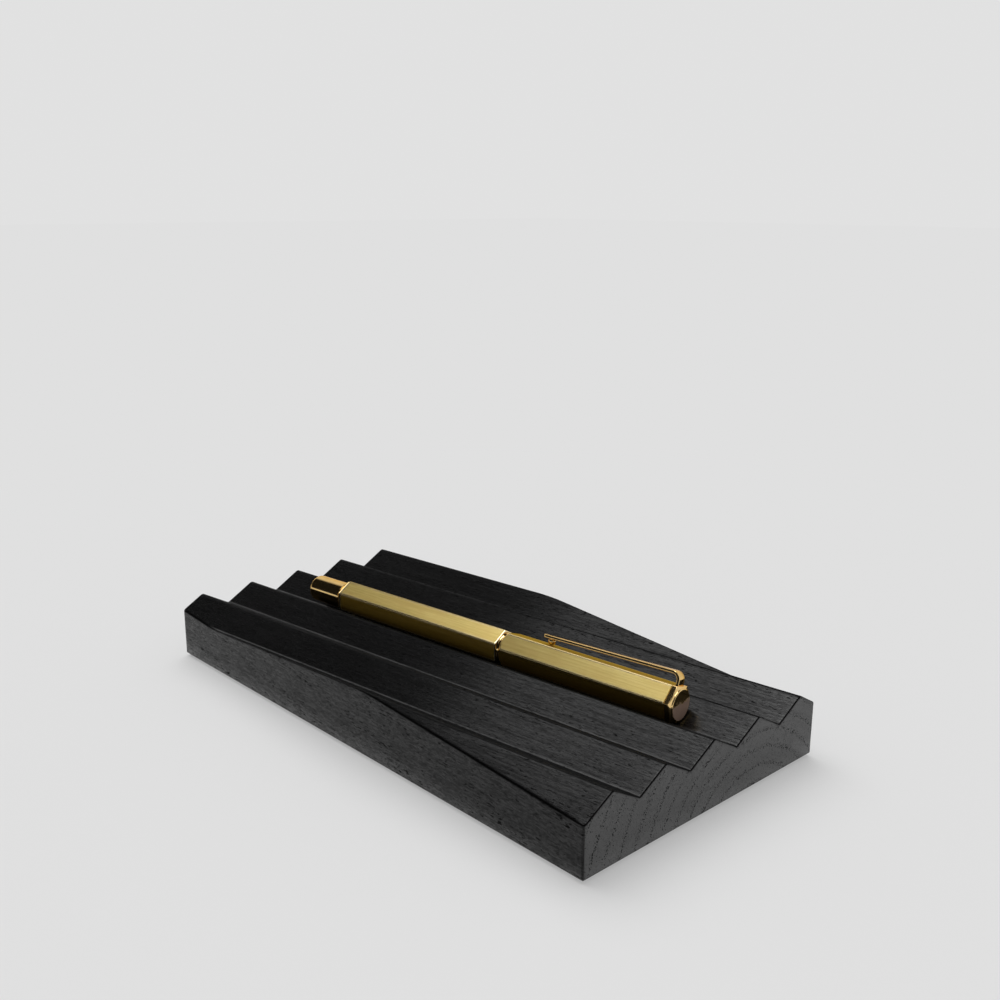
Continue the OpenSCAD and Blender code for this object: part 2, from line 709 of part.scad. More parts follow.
module converter_piston() {
    seal_r = ink_tube_bore / 2 - FIT_GAP;
    waist_r = seal_r - 0.5;
    back = piston_front - piston_length;
    color(RUBBER) in_groove() turned([
        [0, back], [seal_r, back], [seal_r, back + 0.9], [waist_r, back + 1.2],
        [waist_r, piston_front - 1.4], [seal_r, piston_front - 1.1], [seal_r, piston_front - 0.3],
        [seal_r - 0.4, piston_front], [0, piston_front]
    ]);
}

// ---- the pieces, one at a time ---------------------------------------------
rest_block();
foot_pad(-1, -1);  // foot_pad_left_front
foot_pad(-1, 1);  // foot_pad_left_back
foot_pad(1, -1);  // foot_pad_right_front
foot_pad(1, 1);  // foot_pad_right_back
cap_shell();
cap_end_plate();
cap_bush();
cap_liner();
cap_grip_sleeve();
clip();
clip_ball();
section_grip();
centre_ring();
section_seal_ring();
nib_collar();
feed();
nib();
barrel_shell();
barrel_insert();
tail_piece();
converter_mouth();
converter_tube();
converter_band();
converter_knob();
converter_rod();
converter_piston();
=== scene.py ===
# %% [markdown]
# # A grooved pen rest and its capped pen
#
# The rest is one low block of black-stained, open-pored wood with V grooves cut slantwise
# across its top. A six-sided brass fountain pen lies in the middle groove, with its cap on.
# The solids that the frame holds give the sizes and places. This lesson dresses them: it
# builds finer surfaces for what the eye meets, and gives every piece a finish of its own.

# %% Load the frame
import itertools
import json
import math

import bmesh
import bpy
import numpy as np
from mathutils import Matrix, Vector

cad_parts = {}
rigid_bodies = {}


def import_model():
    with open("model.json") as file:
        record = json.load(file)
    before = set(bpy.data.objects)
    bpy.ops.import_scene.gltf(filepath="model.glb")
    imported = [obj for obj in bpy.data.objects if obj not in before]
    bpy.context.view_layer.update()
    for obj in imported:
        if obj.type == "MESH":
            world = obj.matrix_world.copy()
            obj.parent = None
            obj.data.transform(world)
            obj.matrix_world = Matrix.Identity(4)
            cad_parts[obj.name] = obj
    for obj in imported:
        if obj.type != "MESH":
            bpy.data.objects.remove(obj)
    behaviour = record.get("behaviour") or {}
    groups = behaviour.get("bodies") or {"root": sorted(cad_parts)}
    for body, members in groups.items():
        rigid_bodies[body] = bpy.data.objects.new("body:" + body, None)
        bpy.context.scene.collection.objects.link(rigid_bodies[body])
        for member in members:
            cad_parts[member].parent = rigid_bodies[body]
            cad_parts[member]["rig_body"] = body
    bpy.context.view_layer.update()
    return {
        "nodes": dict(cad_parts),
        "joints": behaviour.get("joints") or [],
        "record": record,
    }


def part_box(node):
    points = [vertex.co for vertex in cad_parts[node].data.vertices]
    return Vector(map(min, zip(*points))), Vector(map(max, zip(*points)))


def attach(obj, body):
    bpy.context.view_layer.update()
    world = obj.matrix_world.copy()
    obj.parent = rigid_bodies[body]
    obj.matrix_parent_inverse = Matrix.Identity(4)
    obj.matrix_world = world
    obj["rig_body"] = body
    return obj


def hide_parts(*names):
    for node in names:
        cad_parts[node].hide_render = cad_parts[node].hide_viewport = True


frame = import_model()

MM = 0.001

# %% [markdown]
# ## Where the pen lies
#
# The pen is easiest to build in its own frame: one axis along the groove, one across it and
# one up. The joints already hold that frame. The cap's slide runs along the groove, the
# filler knob turns about the pen's axis, and the clip's hinge lies across the flat that the
# clip stands on. Reading them keeps the looks tied to the solids.

# %% Read the pen's own frame from the joints
joints = {joint["name"]: joint for joint in frame["joints"]}
ALONG = np.array(joints["cap_pull"]["axis"])
UP = np.array([0.0, 0.0, 1.0])
ACROSS = np.cross(UP, ALONG)
GROOVE_ANGLE = math.atan2(ALONG[1], ALONG[0])
knob_pivot = np.array(joints["knob_turn"]["pos_m"])
PEN_CENTRE = knob_pivot - ALONG * (knob_pivot @ ALONG)
CLIP_ACROSS = np.array(joints["clip_spring"]["axis"])
CLIP_OUT = np.cross(ALONG, CLIP_ACROSS)
CAP_ROLL = math.asin(CLIP_OUT @ ACROSS) - math.radians(30)


def mesh_points(mesh):
    """The corners of a mesh, as rows of x, y, z."""
    flat = np.empty(len(mesh.vertices) * 3, np.float32)
    mesh.vertices.foreach_get("co", flat)
    return flat.reshape(-1, 3).astype(float)


def pen_places(mesh):
    """Each corner's station along the pen, its distance from the axis, and the direction from
    the axis out to it."""
    offset = mesh_points(mesh) - PEN_CENTRE
    station = offset @ ALONG
    offset -= np.outer(station, ALONG)
    radius = np.linalg.norm(offset, axis=1)
    return station, radius, offset / np.maximum(radius, 1e-9)[:, None]


def reach(node):
    """The lowest and the highest station of a node along the pen."""
    station = pen_places(frame["nodes"][node].data)[0]
    return station.min(), station.max()


def radius_of(node):
    """The largest distance of a node from the pen's axis."""
    return pen_places(frame["nodes"][node].data)[1].max()


print("groove turned by %.2f degrees, cap rolled by %.2f degrees" % (
    math.degrees(GROOVE_ANGLE), math.degrees(-CAP_ROLL)))

# %% [markdown]
# ## From arrays to meshes
#
# Almost every piece here is a grid of points that closes on itself: rings of points, one
# ring after another. Working out the whole grid as one array keeps the shape a formula, and
# one helper turns any such grid into a mesh. Rings that shrink to a point make poles, which
# merging closes.

# %% Grids into meshes
def grid_quads(rings, ring_size, closed):
    """Corner numbers of the quads between neighbouring rings. A closed grid joins its last
    ring to its first, as on a tube whose bore is part of the same skin."""
    row = np.arange(rings if closed else rings - 1)[:, None]
    col = np.arange(ring_size)[None, :]
    next_row = (row + 1) % rings
    next_col = (col + 1) % ring_size
    corners = [row * ring_size + col, row * ring_size + next_col,
               next_row * ring_size + next_col, next_row * ring_size + col]
    return np.stack(corners, axis=-1).reshape(-1, 4)


def mesh_from_grid(name, grid, closed=False, sharp=40):
    """A mesh from a grid of rings by points by three. Doubles are merged, normals turned
    outwards, and edges steeper than the sharp angle are kept crisp."""
    mesh = bpy.data.meshes.new(name)
    mesh.from_pydata(grid.reshape(-1, 3), [], grid_quads(*grid.shape[:2], closed))
    work = bmesh.new()
    work.from_mesh(mesh)
    bmesh.ops.remove_doubles(work, verts=work.verts, dist=1e-7)
    bmesh.ops.dissolve_degenerate(work, edges=work.edges, dist=1e-8)
    bmesh.ops.recalc_face_normals(work, faces=work.faces)
    work.to_mesh(mesh)
    work.free()
    mesh.polygons.foreach_set("use_smooth", np.ones(len(mesh.polygons), bool))
    mesh.set_sharp_from_angle(angle=math.radians(sharp))
    return mesh


def place_piece(name, mesh, node, finish):
    """Puts a mesh into the scene in place of a CAD node, riding on that node's body."""
    body = frame["nodes"][node]["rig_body"]
    piece = bpy.data.objects.new(name, mesh)
    bpy.context.scene.collection.objects.link(piece)
    mesh.materials.append(finish)
    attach(piece, body)
    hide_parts(node)
    print("%-18s %6d faces, on %s" % (name, len(mesh.polygons), body))
    return piece


slot_of = {row["node"]: row["material_slot"] for row in frame["record"]["subparts"]}
print("material slots:", sorted(set(slot_of.values())))

# %% [markdown]
# ## Shader maths as Python
#
# A procedural finish is a formula: grain plus pores, times a mask. In the node editor that
# takes a page of boxes. Wrapping a node's output in a small class whose operators add Math
# nodes lets the formula be written, and read, as plain Python.

# %% A socket that does sums
class Signal:
    """An output of a shader node that takes part in formulas."""

    def __init__(self, finish, socket):
        self.finish = finish
        self.socket = socket

    def maths(self, operation, *terms):
        """A Math node that takes one or two numbers or signals."""
        return self.finish.add("ShaderNodeMath", {"operation": operation}, dict(enumerate(terms)))

    def __add__(self, other):
        return self.maths("ADD", self, other)

    def __sub__(self, other):
        return self.maths("SUBTRACT", self, other)

    def __rsub__(self, other):
        return self.maths("SUBTRACT", other, self)

    def __mul__(self, other):
        return self.maths("MULTIPLY", self, other)

    def __truediv__(self, other):
        return self.maths("DIVIDE", self, other)

    def __rtruediv__(self, other):
        return self.maths("DIVIDE", other, self)

    __radd__ = __add__
    __rmul__ = __mul__

    def root(self):
        """The square root."""
        return self.maths("SQRT", self)

    def size(self):
        """The value without its sign."""
        return self.maths("ABSOLUTE", self)

    def part(self):
        """What is left after the whole number: a saw from 0 to 1."""
        return self.maths("FRACT", self)

    def or_more(self, other):
        """The larger of two values, which joins two masks."""
        return self.maths("MAXIMUM", self, other)

    def band(self, low, high, from_value=0.0, to_value=1.0):
        """A smooth step from from_value to to_value as the signal goes from low to high."""
        limits = {"From Min": low, "From Max": high, "To Min": from_value, "To Max": to_value}
        return self.finish.add("ShaderNodeMapRange", {"interpolation_type": "SMOOTHSTEP"},
                               {"Value": self, **limits})


# %% A finish and its nodes
class Finish:
    """A procedural material that is being put together."""

    def __init__(self, name):
        self.material = bpy.data.materials.new(name)
        self.material.use_nodes = True
        self.tree = self.material.node_tree
        self.tree.nodes.clear()

    def add(self, kind, settings=None, values=None, output=0):
        """A node of a kind, its settings set first, then the values or links of its sockets."""
        node = self.tree.nodes.new(kind)
        for name, setting in (settings or {}).items():
            setattr(node, name, setting)
        for name, value in (values or {}).items():
            if isinstance(value, Signal):
                self.tree.links.new(value.socket, node.inputs[name])
            else:
                node.inputs[name].default_value = value
        return Signal(self, node.outputs[output]) if len(node.outputs) else None

    def millimetres(self, turn=0.0, centre=(0.0, 0.0, 0.0)):
        """Object coordinates in millimetres, from a centre in metres, turned about Z so that
        X runs along the groove."""
        spot = self.add("ShaderNodeTexCoord", output=3)
        moved = self.add("ShaderNodeVectorMath", {"operation": "SUBTRACT"}, {0: spot, 1: tuple(centre)})
        return self.add("ShaderNodeMapping", {"vector_type": "POINT"},
                        {"Vector": moved, "Rotation": (0.0, 0.0, -turn), "Scale": (1 / MM,) * 3})

    def noise(self, spot, factors, detail=3.0, roughness=0.5, distortion=0.0):
        """Perlin noise from 0 to 1. Each coordinate is multiplied by its own factor first, so
        a small factor draws the noise out and a large one makes it fine."""
        stretched = self.add("ShaderNodeVectorMath", {"operation": "MULTIPLY"}, {0: spot, 1: factors})
        values = {"Vector": stretched, "Scale": 1.0, "Detail": detail,
                  "Roughness": roughness, "Distortion": distortion}
        return self.add("ShaderNodeTexNoise", {"noise_dimensions": "3D"}, values)

    def mark(self, name):
        """A number that the mesh carries at each point, or 0 where it carries none."""
        return self.add("ShaderNodeAttribute", {"attribute_name": name}, output=2)

    def sight(self):
        """Masks for what the camera sees: directly, in a glossy surface, through a clear one."""
        node = self.add("ShaderNodeLightPath").socket.node
        return [Signal(self, node.outputs["Is %s Ray" % way]) for way in ("Camera", "Glossy", "Transmission")]

    def split(self, spot):
        """The three coordinates as signals."""
        node = self.add("ShaderNodeSeparateXYZ", None, {0: spot}).socket.node
        return [Signal(self, output) for output in node.outputs]

    def blend(self, amount, first, second):
        """A Mix node on colours: first where the amount is 0, second where it is 1."""
        first, second = (tint if isinstance(tint, Signal) else colour(*tint) for tint in (first, second))
        settings = {"data_type": "RGBA", "blend_type": "MIX", "clamp_factor": True}
        return self.add("ShaderNodeMix", settings, {0: amount, 6: first, 7: second}, output=2)

    def bump(self, height, depth, strength=1.0, normal=None):
        """A Bump node: height from 0 to 1 stands for a depth in metres."""
        values = {"Height": height, "Distance": depth, "Strength": strength}
        if normal is not None:
            values["Normal"] = normal
        return self.add("ShaderNodeBump", None, values)

    def surface(self, **values):
        """The Principled shader and the output. Names are socket names with _ for a space."""
        sockets = {name.replace("_", " "): value for name, value in values.items()}
        shader = self.add("ShaderNodeBsdfPrincipled", None, sockets)
        self.add("ShaderNodeOutputMaterial", None, {"Surface": shader})
        return self.material


def colour(red, green, blue):
    """A colour as a socket takes it, with full cover."""
    return (red, green, blue, 1.0)


# %% [markdown]
# ## Black-stained wood
#
# The block is ring-porous wood under a black stain and a thin coat of wax. Open pores run
# with the grain, and they crowd where a growth ring begins. The rings are circles about a
# pith line under the block, so they show as arcs on the end and as long bands on the top.
# The stain is close to black, so the eye reads the grain from its gloss. Roughness alone
# could carry that, but it makes the whole block grey. A film of wax of uneven thickness,
# which is the clear coat's weight here, keeps the pores truly black. The arrises, the crests
# and the slopes behind them are painted black and left bare of wax, as painted shade.

# %% Wood finish
PITH_ACROSS, PITH_HEIGHT = 8.0, -16.0
RING_WIDTH = 4.6
END_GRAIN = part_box("rest_block")[1].x / MM
STAIN_BLACK = (0.001, 0.001, 0.001)


def stained_wood(name):
    """Rings are the distance from a pith line below the block, bent a little by noise. Pores
    are noise drawn out along the grain, and they crowd where a ring begins. A pore is a
    small rough-sided pit, so it shows as a dark dash, or as a dot where the grain ends."""
    finish = Finish(name)
    spot = finish.millimetres(turn=GROOVE_ANGLE)
    _, across, height = finish.split(spot)
    # growth rings, and the early wood in which each begins
    wander = finish.noise(spot, (0.010, 0.05, 0.05), detail=2.0) * 5.0 - 2.5
    sideways = across - PITH_ACROSS + wander
    upwards = height - PITH_HEIGHT
    ring = ((sideways * sideways + upwards * upwards).root() / RING_WIDTH + 0.3).part()
    early = ring.band(0.0, 0.1) * ring.band(0.45, 0.15)
    # pores, more of them in early wood and most on the block's ends
    dashes = finish.noise(spot, (0.5, 2.7, 2.7), detail=1.0)
    end = finish.split(finish.millimetres())[0].size().band(END_GRAIN - 0.2, END_GRAIN - 0.05)
    pores = (dashes + early * (0.07 + end * 0.05)).band(0.67, 0.72)
    specks = finish.noise(spot, (1.1, 5.0, 5.0), detail=1.0).band(0.64, 0.72) * 0.8
    pits = pores.or_more(specks)
    # the stain took unevenly along the fibres
    grain = finish.noise(spot, (0.06, 1.6, 1.6), detail=4.0, roughness=0.62)
    fibres = finish.noise(spot, (0.5, 4.5, 4.5), detail=3.0, roughness=0.65)
    clouds = finish.noise(spot, (0.03, 0.06, 0.06), detail=2.0)
    tone = grain * 0.3 + fibres * 0.45 + clouds * 0.25
    wood = finish.blend(tone.band(0.3, 0.7), (0.0015, 0.0015, 0.0016), (0.006, 0.006, 0.0062))
    # painted light: the ends are painted paler, a painted reflection of the pale table, unevenly with the
    # grain
    wood = finish.blend(end * tone.band(0.25, 0.75, 0.65, 1.25), wood, (0.085, 0.085, 0.085))
    wood = finish.blend(pits * 0.85, wood, STAIN_BLACK)
    # painted shade on the arrises and behind the crests, which are painted black; a paler thread painted in
    # the grooves' roots
    arris_shade, lee_shade, root = (finish.mark(name) for name in ("arris_shade", "lee_shade", "root"))
    wood = finish.blend(arris_shade.or_more(lee_shade * 0.6), wood, STAIN_BLACK)
    wood = finish.blend(root * tone.band(0.2, 0.7, 0.4, 1.0), wood, (0.05, 0.05, 0.05))
    rough = (grain * 0.5 + fibres * 0.5).band(0.3, 0.7, 0.3, 0.5) + pits * 0.4 + lee_shade * 0.4
    relief = finish.bump(1.0 - pits, 0.0001, 0.8)
    relief = finish.bump(grain * 0.4 + fibres * 0.6, 0.00008, 0.8, relief)
    # the wax carries the gloss, and it is missing where the wood looks dead black
    film = (grain * 0.45 + fibres * 0.55).band(0.38, 0.62, 0.3, 1.0) * (1.0 - pits * 0.9)
    # the wax is also taken off the painted shade on the arrises and behind the crests
    film = film * (1.0 - arris_shade) * (1.0 - lee_shade * 0.8)
    return finish.surface(Base_Color=wood, Roughness=rough, Specular_IOR_Level=0.04, Normal=relief,
                          Coat_Weight=film, Coat_Roughness=0.19, Coat_IOR=1.4)


stain = stained_wood("stained_wood")
print("wood finish has", len(stain.node_tree.nodes), "nodes")

# %% [markdown]
# ## Brass, brushed and polished
#
# The cap and the barrel are brushed along their length: the metal is yellow with a hint of
# green, and the scratches spread every highlight. The flat that looks up and forwards keeps
# the plain colour, and the other flats are painted a darker brown, as painted shade. Ridges
# and bevels are worn smoother, and painted paler, as a painted highlight. The clip, the ball,
# the end plate, the ring and the tail are polished and a little redder, with hairline marks
# alone, and the plate's face has tarnished low down. Such marks could be painted by place in
# the shader, but each mesh knows best where its own bevels and flats lie. So it is written
# on the mesh as a number at each point, and the finish reads it by name.

# %% Brass finishes
def brushed_brass(name):
    """Scratches are noise drawn out about fifty times along the pen. They set the roughness,
    the relief and a faint stripe in the colour; slow noise adds the bloom of handling."""
    finish = Finish(name)
    spot = finish.millimetres(turn=GROOVE_ANGLE, centre=PEN_CENTRE)
    scratches = finish.noise(spot, (0.035, 2.0, 2.0), detail=5.0, roughness=0.68)
    hairs = finish.noise(spot, (0.35, 18.0, 18.0), detail=3.0, roughness=0.6)
    bloom = finish.noise(spot, (0.09, 0.22, 0.22), detail=3.0, roughness=0.6)
    marks = scratches * 0.6 + hairs * 0.4
    metal = finish.blend(marks.band(0.3, 0.7), (0.66, 0.49, 0.14), (0.90, 0.74, 0.31))
    metal = finish.blend(bloom.band(0.35, 0.8), metal, (0.74, 0.55, 0.20))
    painted_flat_shade, polish_and_glint = finish.mark("painted_flat_shade"), finish.mark("polish_and_glint")
    # painted shade: every flat but the one that looks up and forwards is painted darker brown
    metal = finish.blend(painted_flat_shade * marks.band(0.2, 0.8, 1.0, 0.75), metal, (0.34, 0.20, 0.02))
    # worn ridges and bevels: less rough, and painted paler than the brass as a painted highlight
    metal = finish.blend(polish_and_glint, metal, (0.96, 0.80, 0.50))
    rough = (marks.band(0.2, 0.8, 0.36, 0.48) + bloom * 0.04) * (1.0 - polish_and_glint * 0.75)
    relief = finish.bump(marks, 0.000012, 0.8)
    return finish.surface(Base_Color=metal, Metallic=1.0, Roughness=rough, Normal=relief,
                          Specular_Tint=colour(0.90, 0.70, 0.30))


def polished_brass(name):
    """Almost a mirror. Hairlines and a faint cloud of handling keep it from looking new, and
    a face that the mesh marks has tarnished in its lower part."""
    tint, gloss = (0.91, 0.64, 0.28), 0.07
    finish = Finish(name)
    spot = finish.millimetres(turn=GROOVE_ANGLE, centre=PEN_CENTRE)
    hairs = finish.noise(spot, (1.5, 22.0, 22.0), detail=3.0)
    cloud = finish.noise(spot, (0.5, 0.8, 0.8), detail=3.0)
    darker = tuple(part * 0.86 for part in tint)
    metal = finish.blend(cloud.band(0.3, 0.75), tint, darker)
    height = finish.split(spot)[2]
    lower_part = (height + cloud * 3.0).band(2.9, 1.6)
    tarnish = finish.mark("tarnish") * lower_part * hairs.band(0.25, 0.6, 0.6, 1.0)
    metal = finish.blend(tarnish, metal, (0.42, 0.29, 0.25))
    rough = hairs.band(0.3, 0.8, gloss, gloss + 0.07) + cloud * 0.03 + tarnish * 0.4
    relief = finish.bump(hairs, 0.000002, 0.5)
    return finish.surface(Base_Color=metal, Metallic=1.0 - tarnish * 0.6, Roughness=rough, Normal=relief,
                          Specular_Tint=colour(0.95, 0.72, 0.42))


satin = brushed_brass("satin_brass")
bright = polished_brass("bright_brass")
print("brass finishes:", satin.name, bright.name)

# %% [markdown]
# ## The inner pieces' finishes
#
# Inside the pen are a black moulded section and feed, a steel nib, a clear ink tube with
# steel fittings, and rubber seals. One colour and one roughness each would do from afar, but
# once the pen is apart they would all look like the same plastic. So each gets the marks of
# how it is made: a faint orange peel on a moulding, draw lines on steel, a dull skin on
# rubber, loose fibres on felt.

# %% Plastic, steel, rubber and felt
def moulded_plastic(name, tint, gloss):
    """Glossy plastic: a slow orange-peel relief, fine dust and a little uneven gloss."""
    finish = Finish(name)
    spot = finish.millimetres(turn=GROOVE_ANGLE, centre=PEN_CENTRE)
    peel = finish.noise(spot, (0.8, 0.8, 0.8), detail=2.0)
    dust = finish.noise(spot, (6.0, 6.0, 6.0), detail=3.0)
    shade = finish.blend(peel.band(0.3, 0.7), tint, tuple(part * 0.7 for part in tint))
    rough = peel * 0.06 + dust.band(0.55, 0.8, gloss, gloss + 0.12)
    relief = finish.bump(peel * 0.7 + dust * 0.3, 0.00001, 0.4)
    return finish.surface(Base_Color=shade, Roughness=rough, Normal=relief)


def drawn_steel(name):
    """Bright steel with fine lines along the pen."""
    finish = Finish(name)
    spot = finish.millimetres(turn=GROOVE_ANGLE, centre=PEN_CENTRE)
    lines = finish.noise(spot, (0.4, 18.0, 18.0), detail=4.0)
    metal = finish.blend(lines.band(0.3, 0.7), (0.50, 0.51, 0.53), (0.68, 0.69, 0.71))
    relief = finish.bump(lines, 0.000006, 0.6)
    return finish.surface(Base_Color=metal, Metallic=1.0, Roughness=lines.band(0.2, 0.8, 0.16, 0.3),
                          Normal=relief)


def clear_plastic(name):
    """A clear tube: mostly see-through, a little blue-grey, with faint scuffs."""
    finish = Finish(name)
    spot = finish.millimetres(turn=GROOVE_ANGLE, centre=PEN_CENTRE)
    scuffs = finish.noise(spot, (1.2, 9.0, 9.0), detail=4.0)
    tint = finish.blend(scuffs.band(0.4, 0.8), (0.80, 0.85, 0.88), (0.62, 0.68, 0.72))
    return finish.surface(Base_Color=tint, Roughness=scuffs.band(0.3, 0.8, 0.04, 0.2),
                          Alpha=scuffs.band(0.45, 0.9, 0.30, 0.55))


def dull_rubber(name):
    """Black rubber with a dry, slightly mottled skin."""
    finish = Finish(name)
    spot = finish.millimetres(centre=PEN_CENTRE)
    mottle = finish.noise(spot, (4.0, 4.0, 4.0), detail=4.0)
    shade = finish.blend(mottle, (0.012, 0.012, 0.013), (0.035, 0.035, 0.037))
    relief = finish.bump(mottle, 0.00002, 0.5)
    return finish.surface(Base_Color=shade, Roughness=mottle.band(0.2, 0.8, 0.62, 0.8), Normal=relief)


def pressed_felt(name):
    """Felt: short fibres in all directions, from two noises at two scales."""
    finish = Finish(name)
    spot = finish.millimetres()
    tufts = finish.noise(spot, (1.6, 1.6, 1.6), detail=3.0, distortion=1.2)
    fibres = finish.noise(spot, (9.0, 9.0, 9.0), detail=4.0, distortion=2.5)
    shade = finish.blend(fibres * 0.6 + tufts * 0.4, (0.02, 0.02, 0.022), (0.11, 0.11, 0.115))
    relief = finish.bump(fibres * 0.7 + tufts * 0.3, 0.00025, 0.9)
    return finish.surface(Base_Color=shade, Roughness=fibres.band(0.2, 0.8, 0.85, 0.98), Normal=relief)


finishes = {
    "stained_wood": stain,
    "satin_brass": satin,
    "bright_brass": bright,
    "black_plastic": moulded_plastic("black_plastic", (0.012, 0.012, 0.013), 0.12),
    "steel": drawn_steel("steel"),
    "clear_plastic": clear_plastic("clear_plastic"),
    "rubber": dull_rubber("rubber"),
    "felt": pressed_felt("felt"),
}

# %% Give every CAD node its finish
for node, piece in frame["nodes"].items():
    piece.data.materials.clear()
    piece.data.materials.append(finishes[slot_of[node]])
print("finished", len(frame["nodes"]), "CAD nodes")

# %% [markdown]
# ## The wooden block
#
# The cutter leaves flat slopes, and sanding softens every edge a little. The block could be a
# box with the grooves cut out and a Bevel modifier on it, but a bevel breaks where a slanting
# groove runs out through a corner. So the block is worked out in slices, each along the
# grooves at one distance across them. A slice is as long as the plan lets it be, and as high
# as the zigzag says. Insets of the plan make the soft edge between walls and top, so the
# whole block is one closed grid.

# %% The plan and the zigzag
block_low, block_high = (np.array(corner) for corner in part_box("rest_block"))
CREST = block_high[2]
PLAN_CORNER = 0.8 * MM
GROOVE_PITCH = 18.48 * MM
CREST_FLAT = 0.6 * MM
ROOT_HEIGHT = 14.754 * MM
GROOVE_SLOPE = math.tan(math.radians(30))
SOFT_EDGE = 0.4 * MM
CREST_SOFTNESS, ROOT_SOFTNESS = 0.16 * MM, 0.12 * MM
BASE_CHAMFER = 0.7 * MM

side_turns = np.radians(np.arange(0, 360, 11.25))
side_along = np.cos(side_turns - GROOVE_ANGLE)
side_across = np.sin(side_turns - GROOVE_ANGLE)
side_reach = ((block_high[0] - PLAN_CORNER) * np.abs(np.cos(side_turns))
              + (block_high[1] - PLAN_CORNER) * np.abs(np.sin(side_turns)) + PLAN_CORNER)


def line_ends(across, inset):
    """Where lines along the grooves enter and leave the plan, drawn in by an inset. The plan
    is the overlap of half planes: a rectangle's reach in each direction, with round corners."""
    room = side_reach - np.asarray(inset)[..., None] - across[:, None] * side_across
    reach = room / side_along
    end = np.where(side_along > 0, reach, np.inf).min(axis=1)
    start = np.where(side_along < 0, reach, -np.inf).max(axis=1)
    return start, end


def deepest_inset(across):
    """The inset at which a line's two ends meet, found by halving the range over and over."""
    low, high = np.zeros(across.shape), np.full(across.shape, block_high[1])
    for _ in range(40):
        middle = (low + high) / 2
        start, end = line_ends(across, middle)
        low, high = np.where(start <= end, middle, low), np.where(start <= end, high, middle)
    return low


def slice_ends(across, inset):
    """Ends of the lines at an inset, or where they meet if the plan's tip is nearer."""
    return line_ends(across, np.minimum(inset, deepest_inset(across)))


def edge_distance(along, across):
    """How far inside the plan a point lies."""
    room = side_reach - along[..., None] * side_along - across[..., None] * side_across
    return np.maximum(room.min(axis=-1), 0)


def plan_vertices():
    """Corners of the plan: each is where two neighbouring sides cross."""
    sides = np.stack([side_along, side_across], axis=1)
    pairs = np.stack([sides, np.roll(sides, -1, axis=0)], axis=1)
    reaches = np.stack([side_reach, np.roll(side_reach, -1)], axis=1)
    return np.linalg.solve(pairs, reaches[..., None])[..., 0]


def soft_max(first, second, blend):
    """The larger of two values, with a rounded change over about the blend's size."""
    return (first + second + np.sqrt((first - second) ** 2 + blend ** 2)) / 2


def past_crest(across):
    """How far a line lies behind the middle of its nearest crest, negative before it."""
    pitches = across / GROOVE_PITCH - 0.5
    return (pitches - np.round(pitches)) * GROOVE_PITCH


def zigzag(across):
    """Height of the top: flat crests, slopes at 30 degrees, narrow floors, all a bit soft."""
    fall = soft_max(np.abs(past_crest(across)) - CREST_FLAT / 2, 0.0, CREST_SOFTNESS) * GROOVE_SLOPE
    return soft_max(CREST - fall, ROOT_HEIGHT, ROOT_SOFTNESS)


print("plan reaches %.1f mm across the grooves" % (slice_ends(np.zeros(1), 0)[1][0] / MM))

# %% Cut the block into slices
def crowded_rows(reach, marks, spread):
    """Even rows from -reach to reach, with extra ones crowded round each mark."""
    offsets = np.linspace(-1, 1, 13)
    extra = (np.asarray(marks)[:, None] + spread * offsets * np.abs(offsets)).ravel()
    rows = np.unique(np.round(np.concatenate([np.linspace(-reach, reach, 181), extra]), 7))
    return rows[np.abs(rows) <= reach]


plan_corners = np.array([[x * block_high[0], y * block_high[1]] for x in (-1, 1) for y in (-1, 1)])
corner_across = plan_corners @ ACROSS[:2]
plan_tip = plan_vertices()[:, 1].max() - 0.001 * MM
breaks = np.arange(-7, 8) * GROOVE_PITCH / 2
rows = crowded_rows(plan_tip, np.concatenate([breaks, corner_across]), 0.8 * MM)


def block_end(rows, top, side):
    """One end of every slice as places along and up, from the base over the soft edge and a
    little way in along the top. Side 1 is the end that the grooves run towards, 0 the other."""
    foot, wall = slice_ends(rows, BASE_CHAMFER)[side], slice_ends(rows, 0)[side]
    low = block_low[2] + BASE_CHAMFER
    loop = [(foot, block_low[2] + np.maximum(BASE_CHAMFER - edge_distance(foot, rows), 0))]
    loop += [(wall, low + (top - SOFT_EDGE - low) * share) for share in (0.0, 0.35, 0.7, 0.9, 0.97)]
    bend = np.radians(np.linspace(0, 90, 7))
    for inset in [*(SOFT_EDGE * (1 - np.cos(bend))), 0.7 * MM, 1.2 * MM, 2.4 * MM]:
        along = slice_ends(rows, inset)[side]
        inside = np.minimum(edge_distance(along, rows), SOFT_EDGE)
        loop.append((along, top - SOFT_EDGE + np.sqrt(SOFT_EDGE ** 2 - (SOFT_EDGE - inside) ** 2)))
    return loop


def block_slices(rows):
    """Every slice is one loop of points: up from the base at one end, over the soft edge,
    along the top, and down at the other end. Returns places along, across and up."""
    top = zigzag(rows)
    right, left = block_end(rows, top, 1), block_end(rows, top, 0)
    shares = np.linspace(0, 1, 9)[1:-1]
    middle = [(right[-1][0] * (1 - share) + left[-1][0] * share, top) for share in shares]
    along, height = np.moveaxis(np.array(right + middle + left[::-1]), 1, 0)
    return along.T, np.broadcast_to(rows[:, None], along.T.shape), height.T


def groove_space(along, across, height):
    """Points from places along and across the grooves and heights over the table."""
    return along[..., None] * ALONG + across[..., None] * ACROSS + height[..., None] * UP


slices = groove_space(*block_slices(rows))
block_mesh = mesh_from_grid("wood_block", slices, sharp=50)
print("%d slices of %d points" % slices.shape[:2])

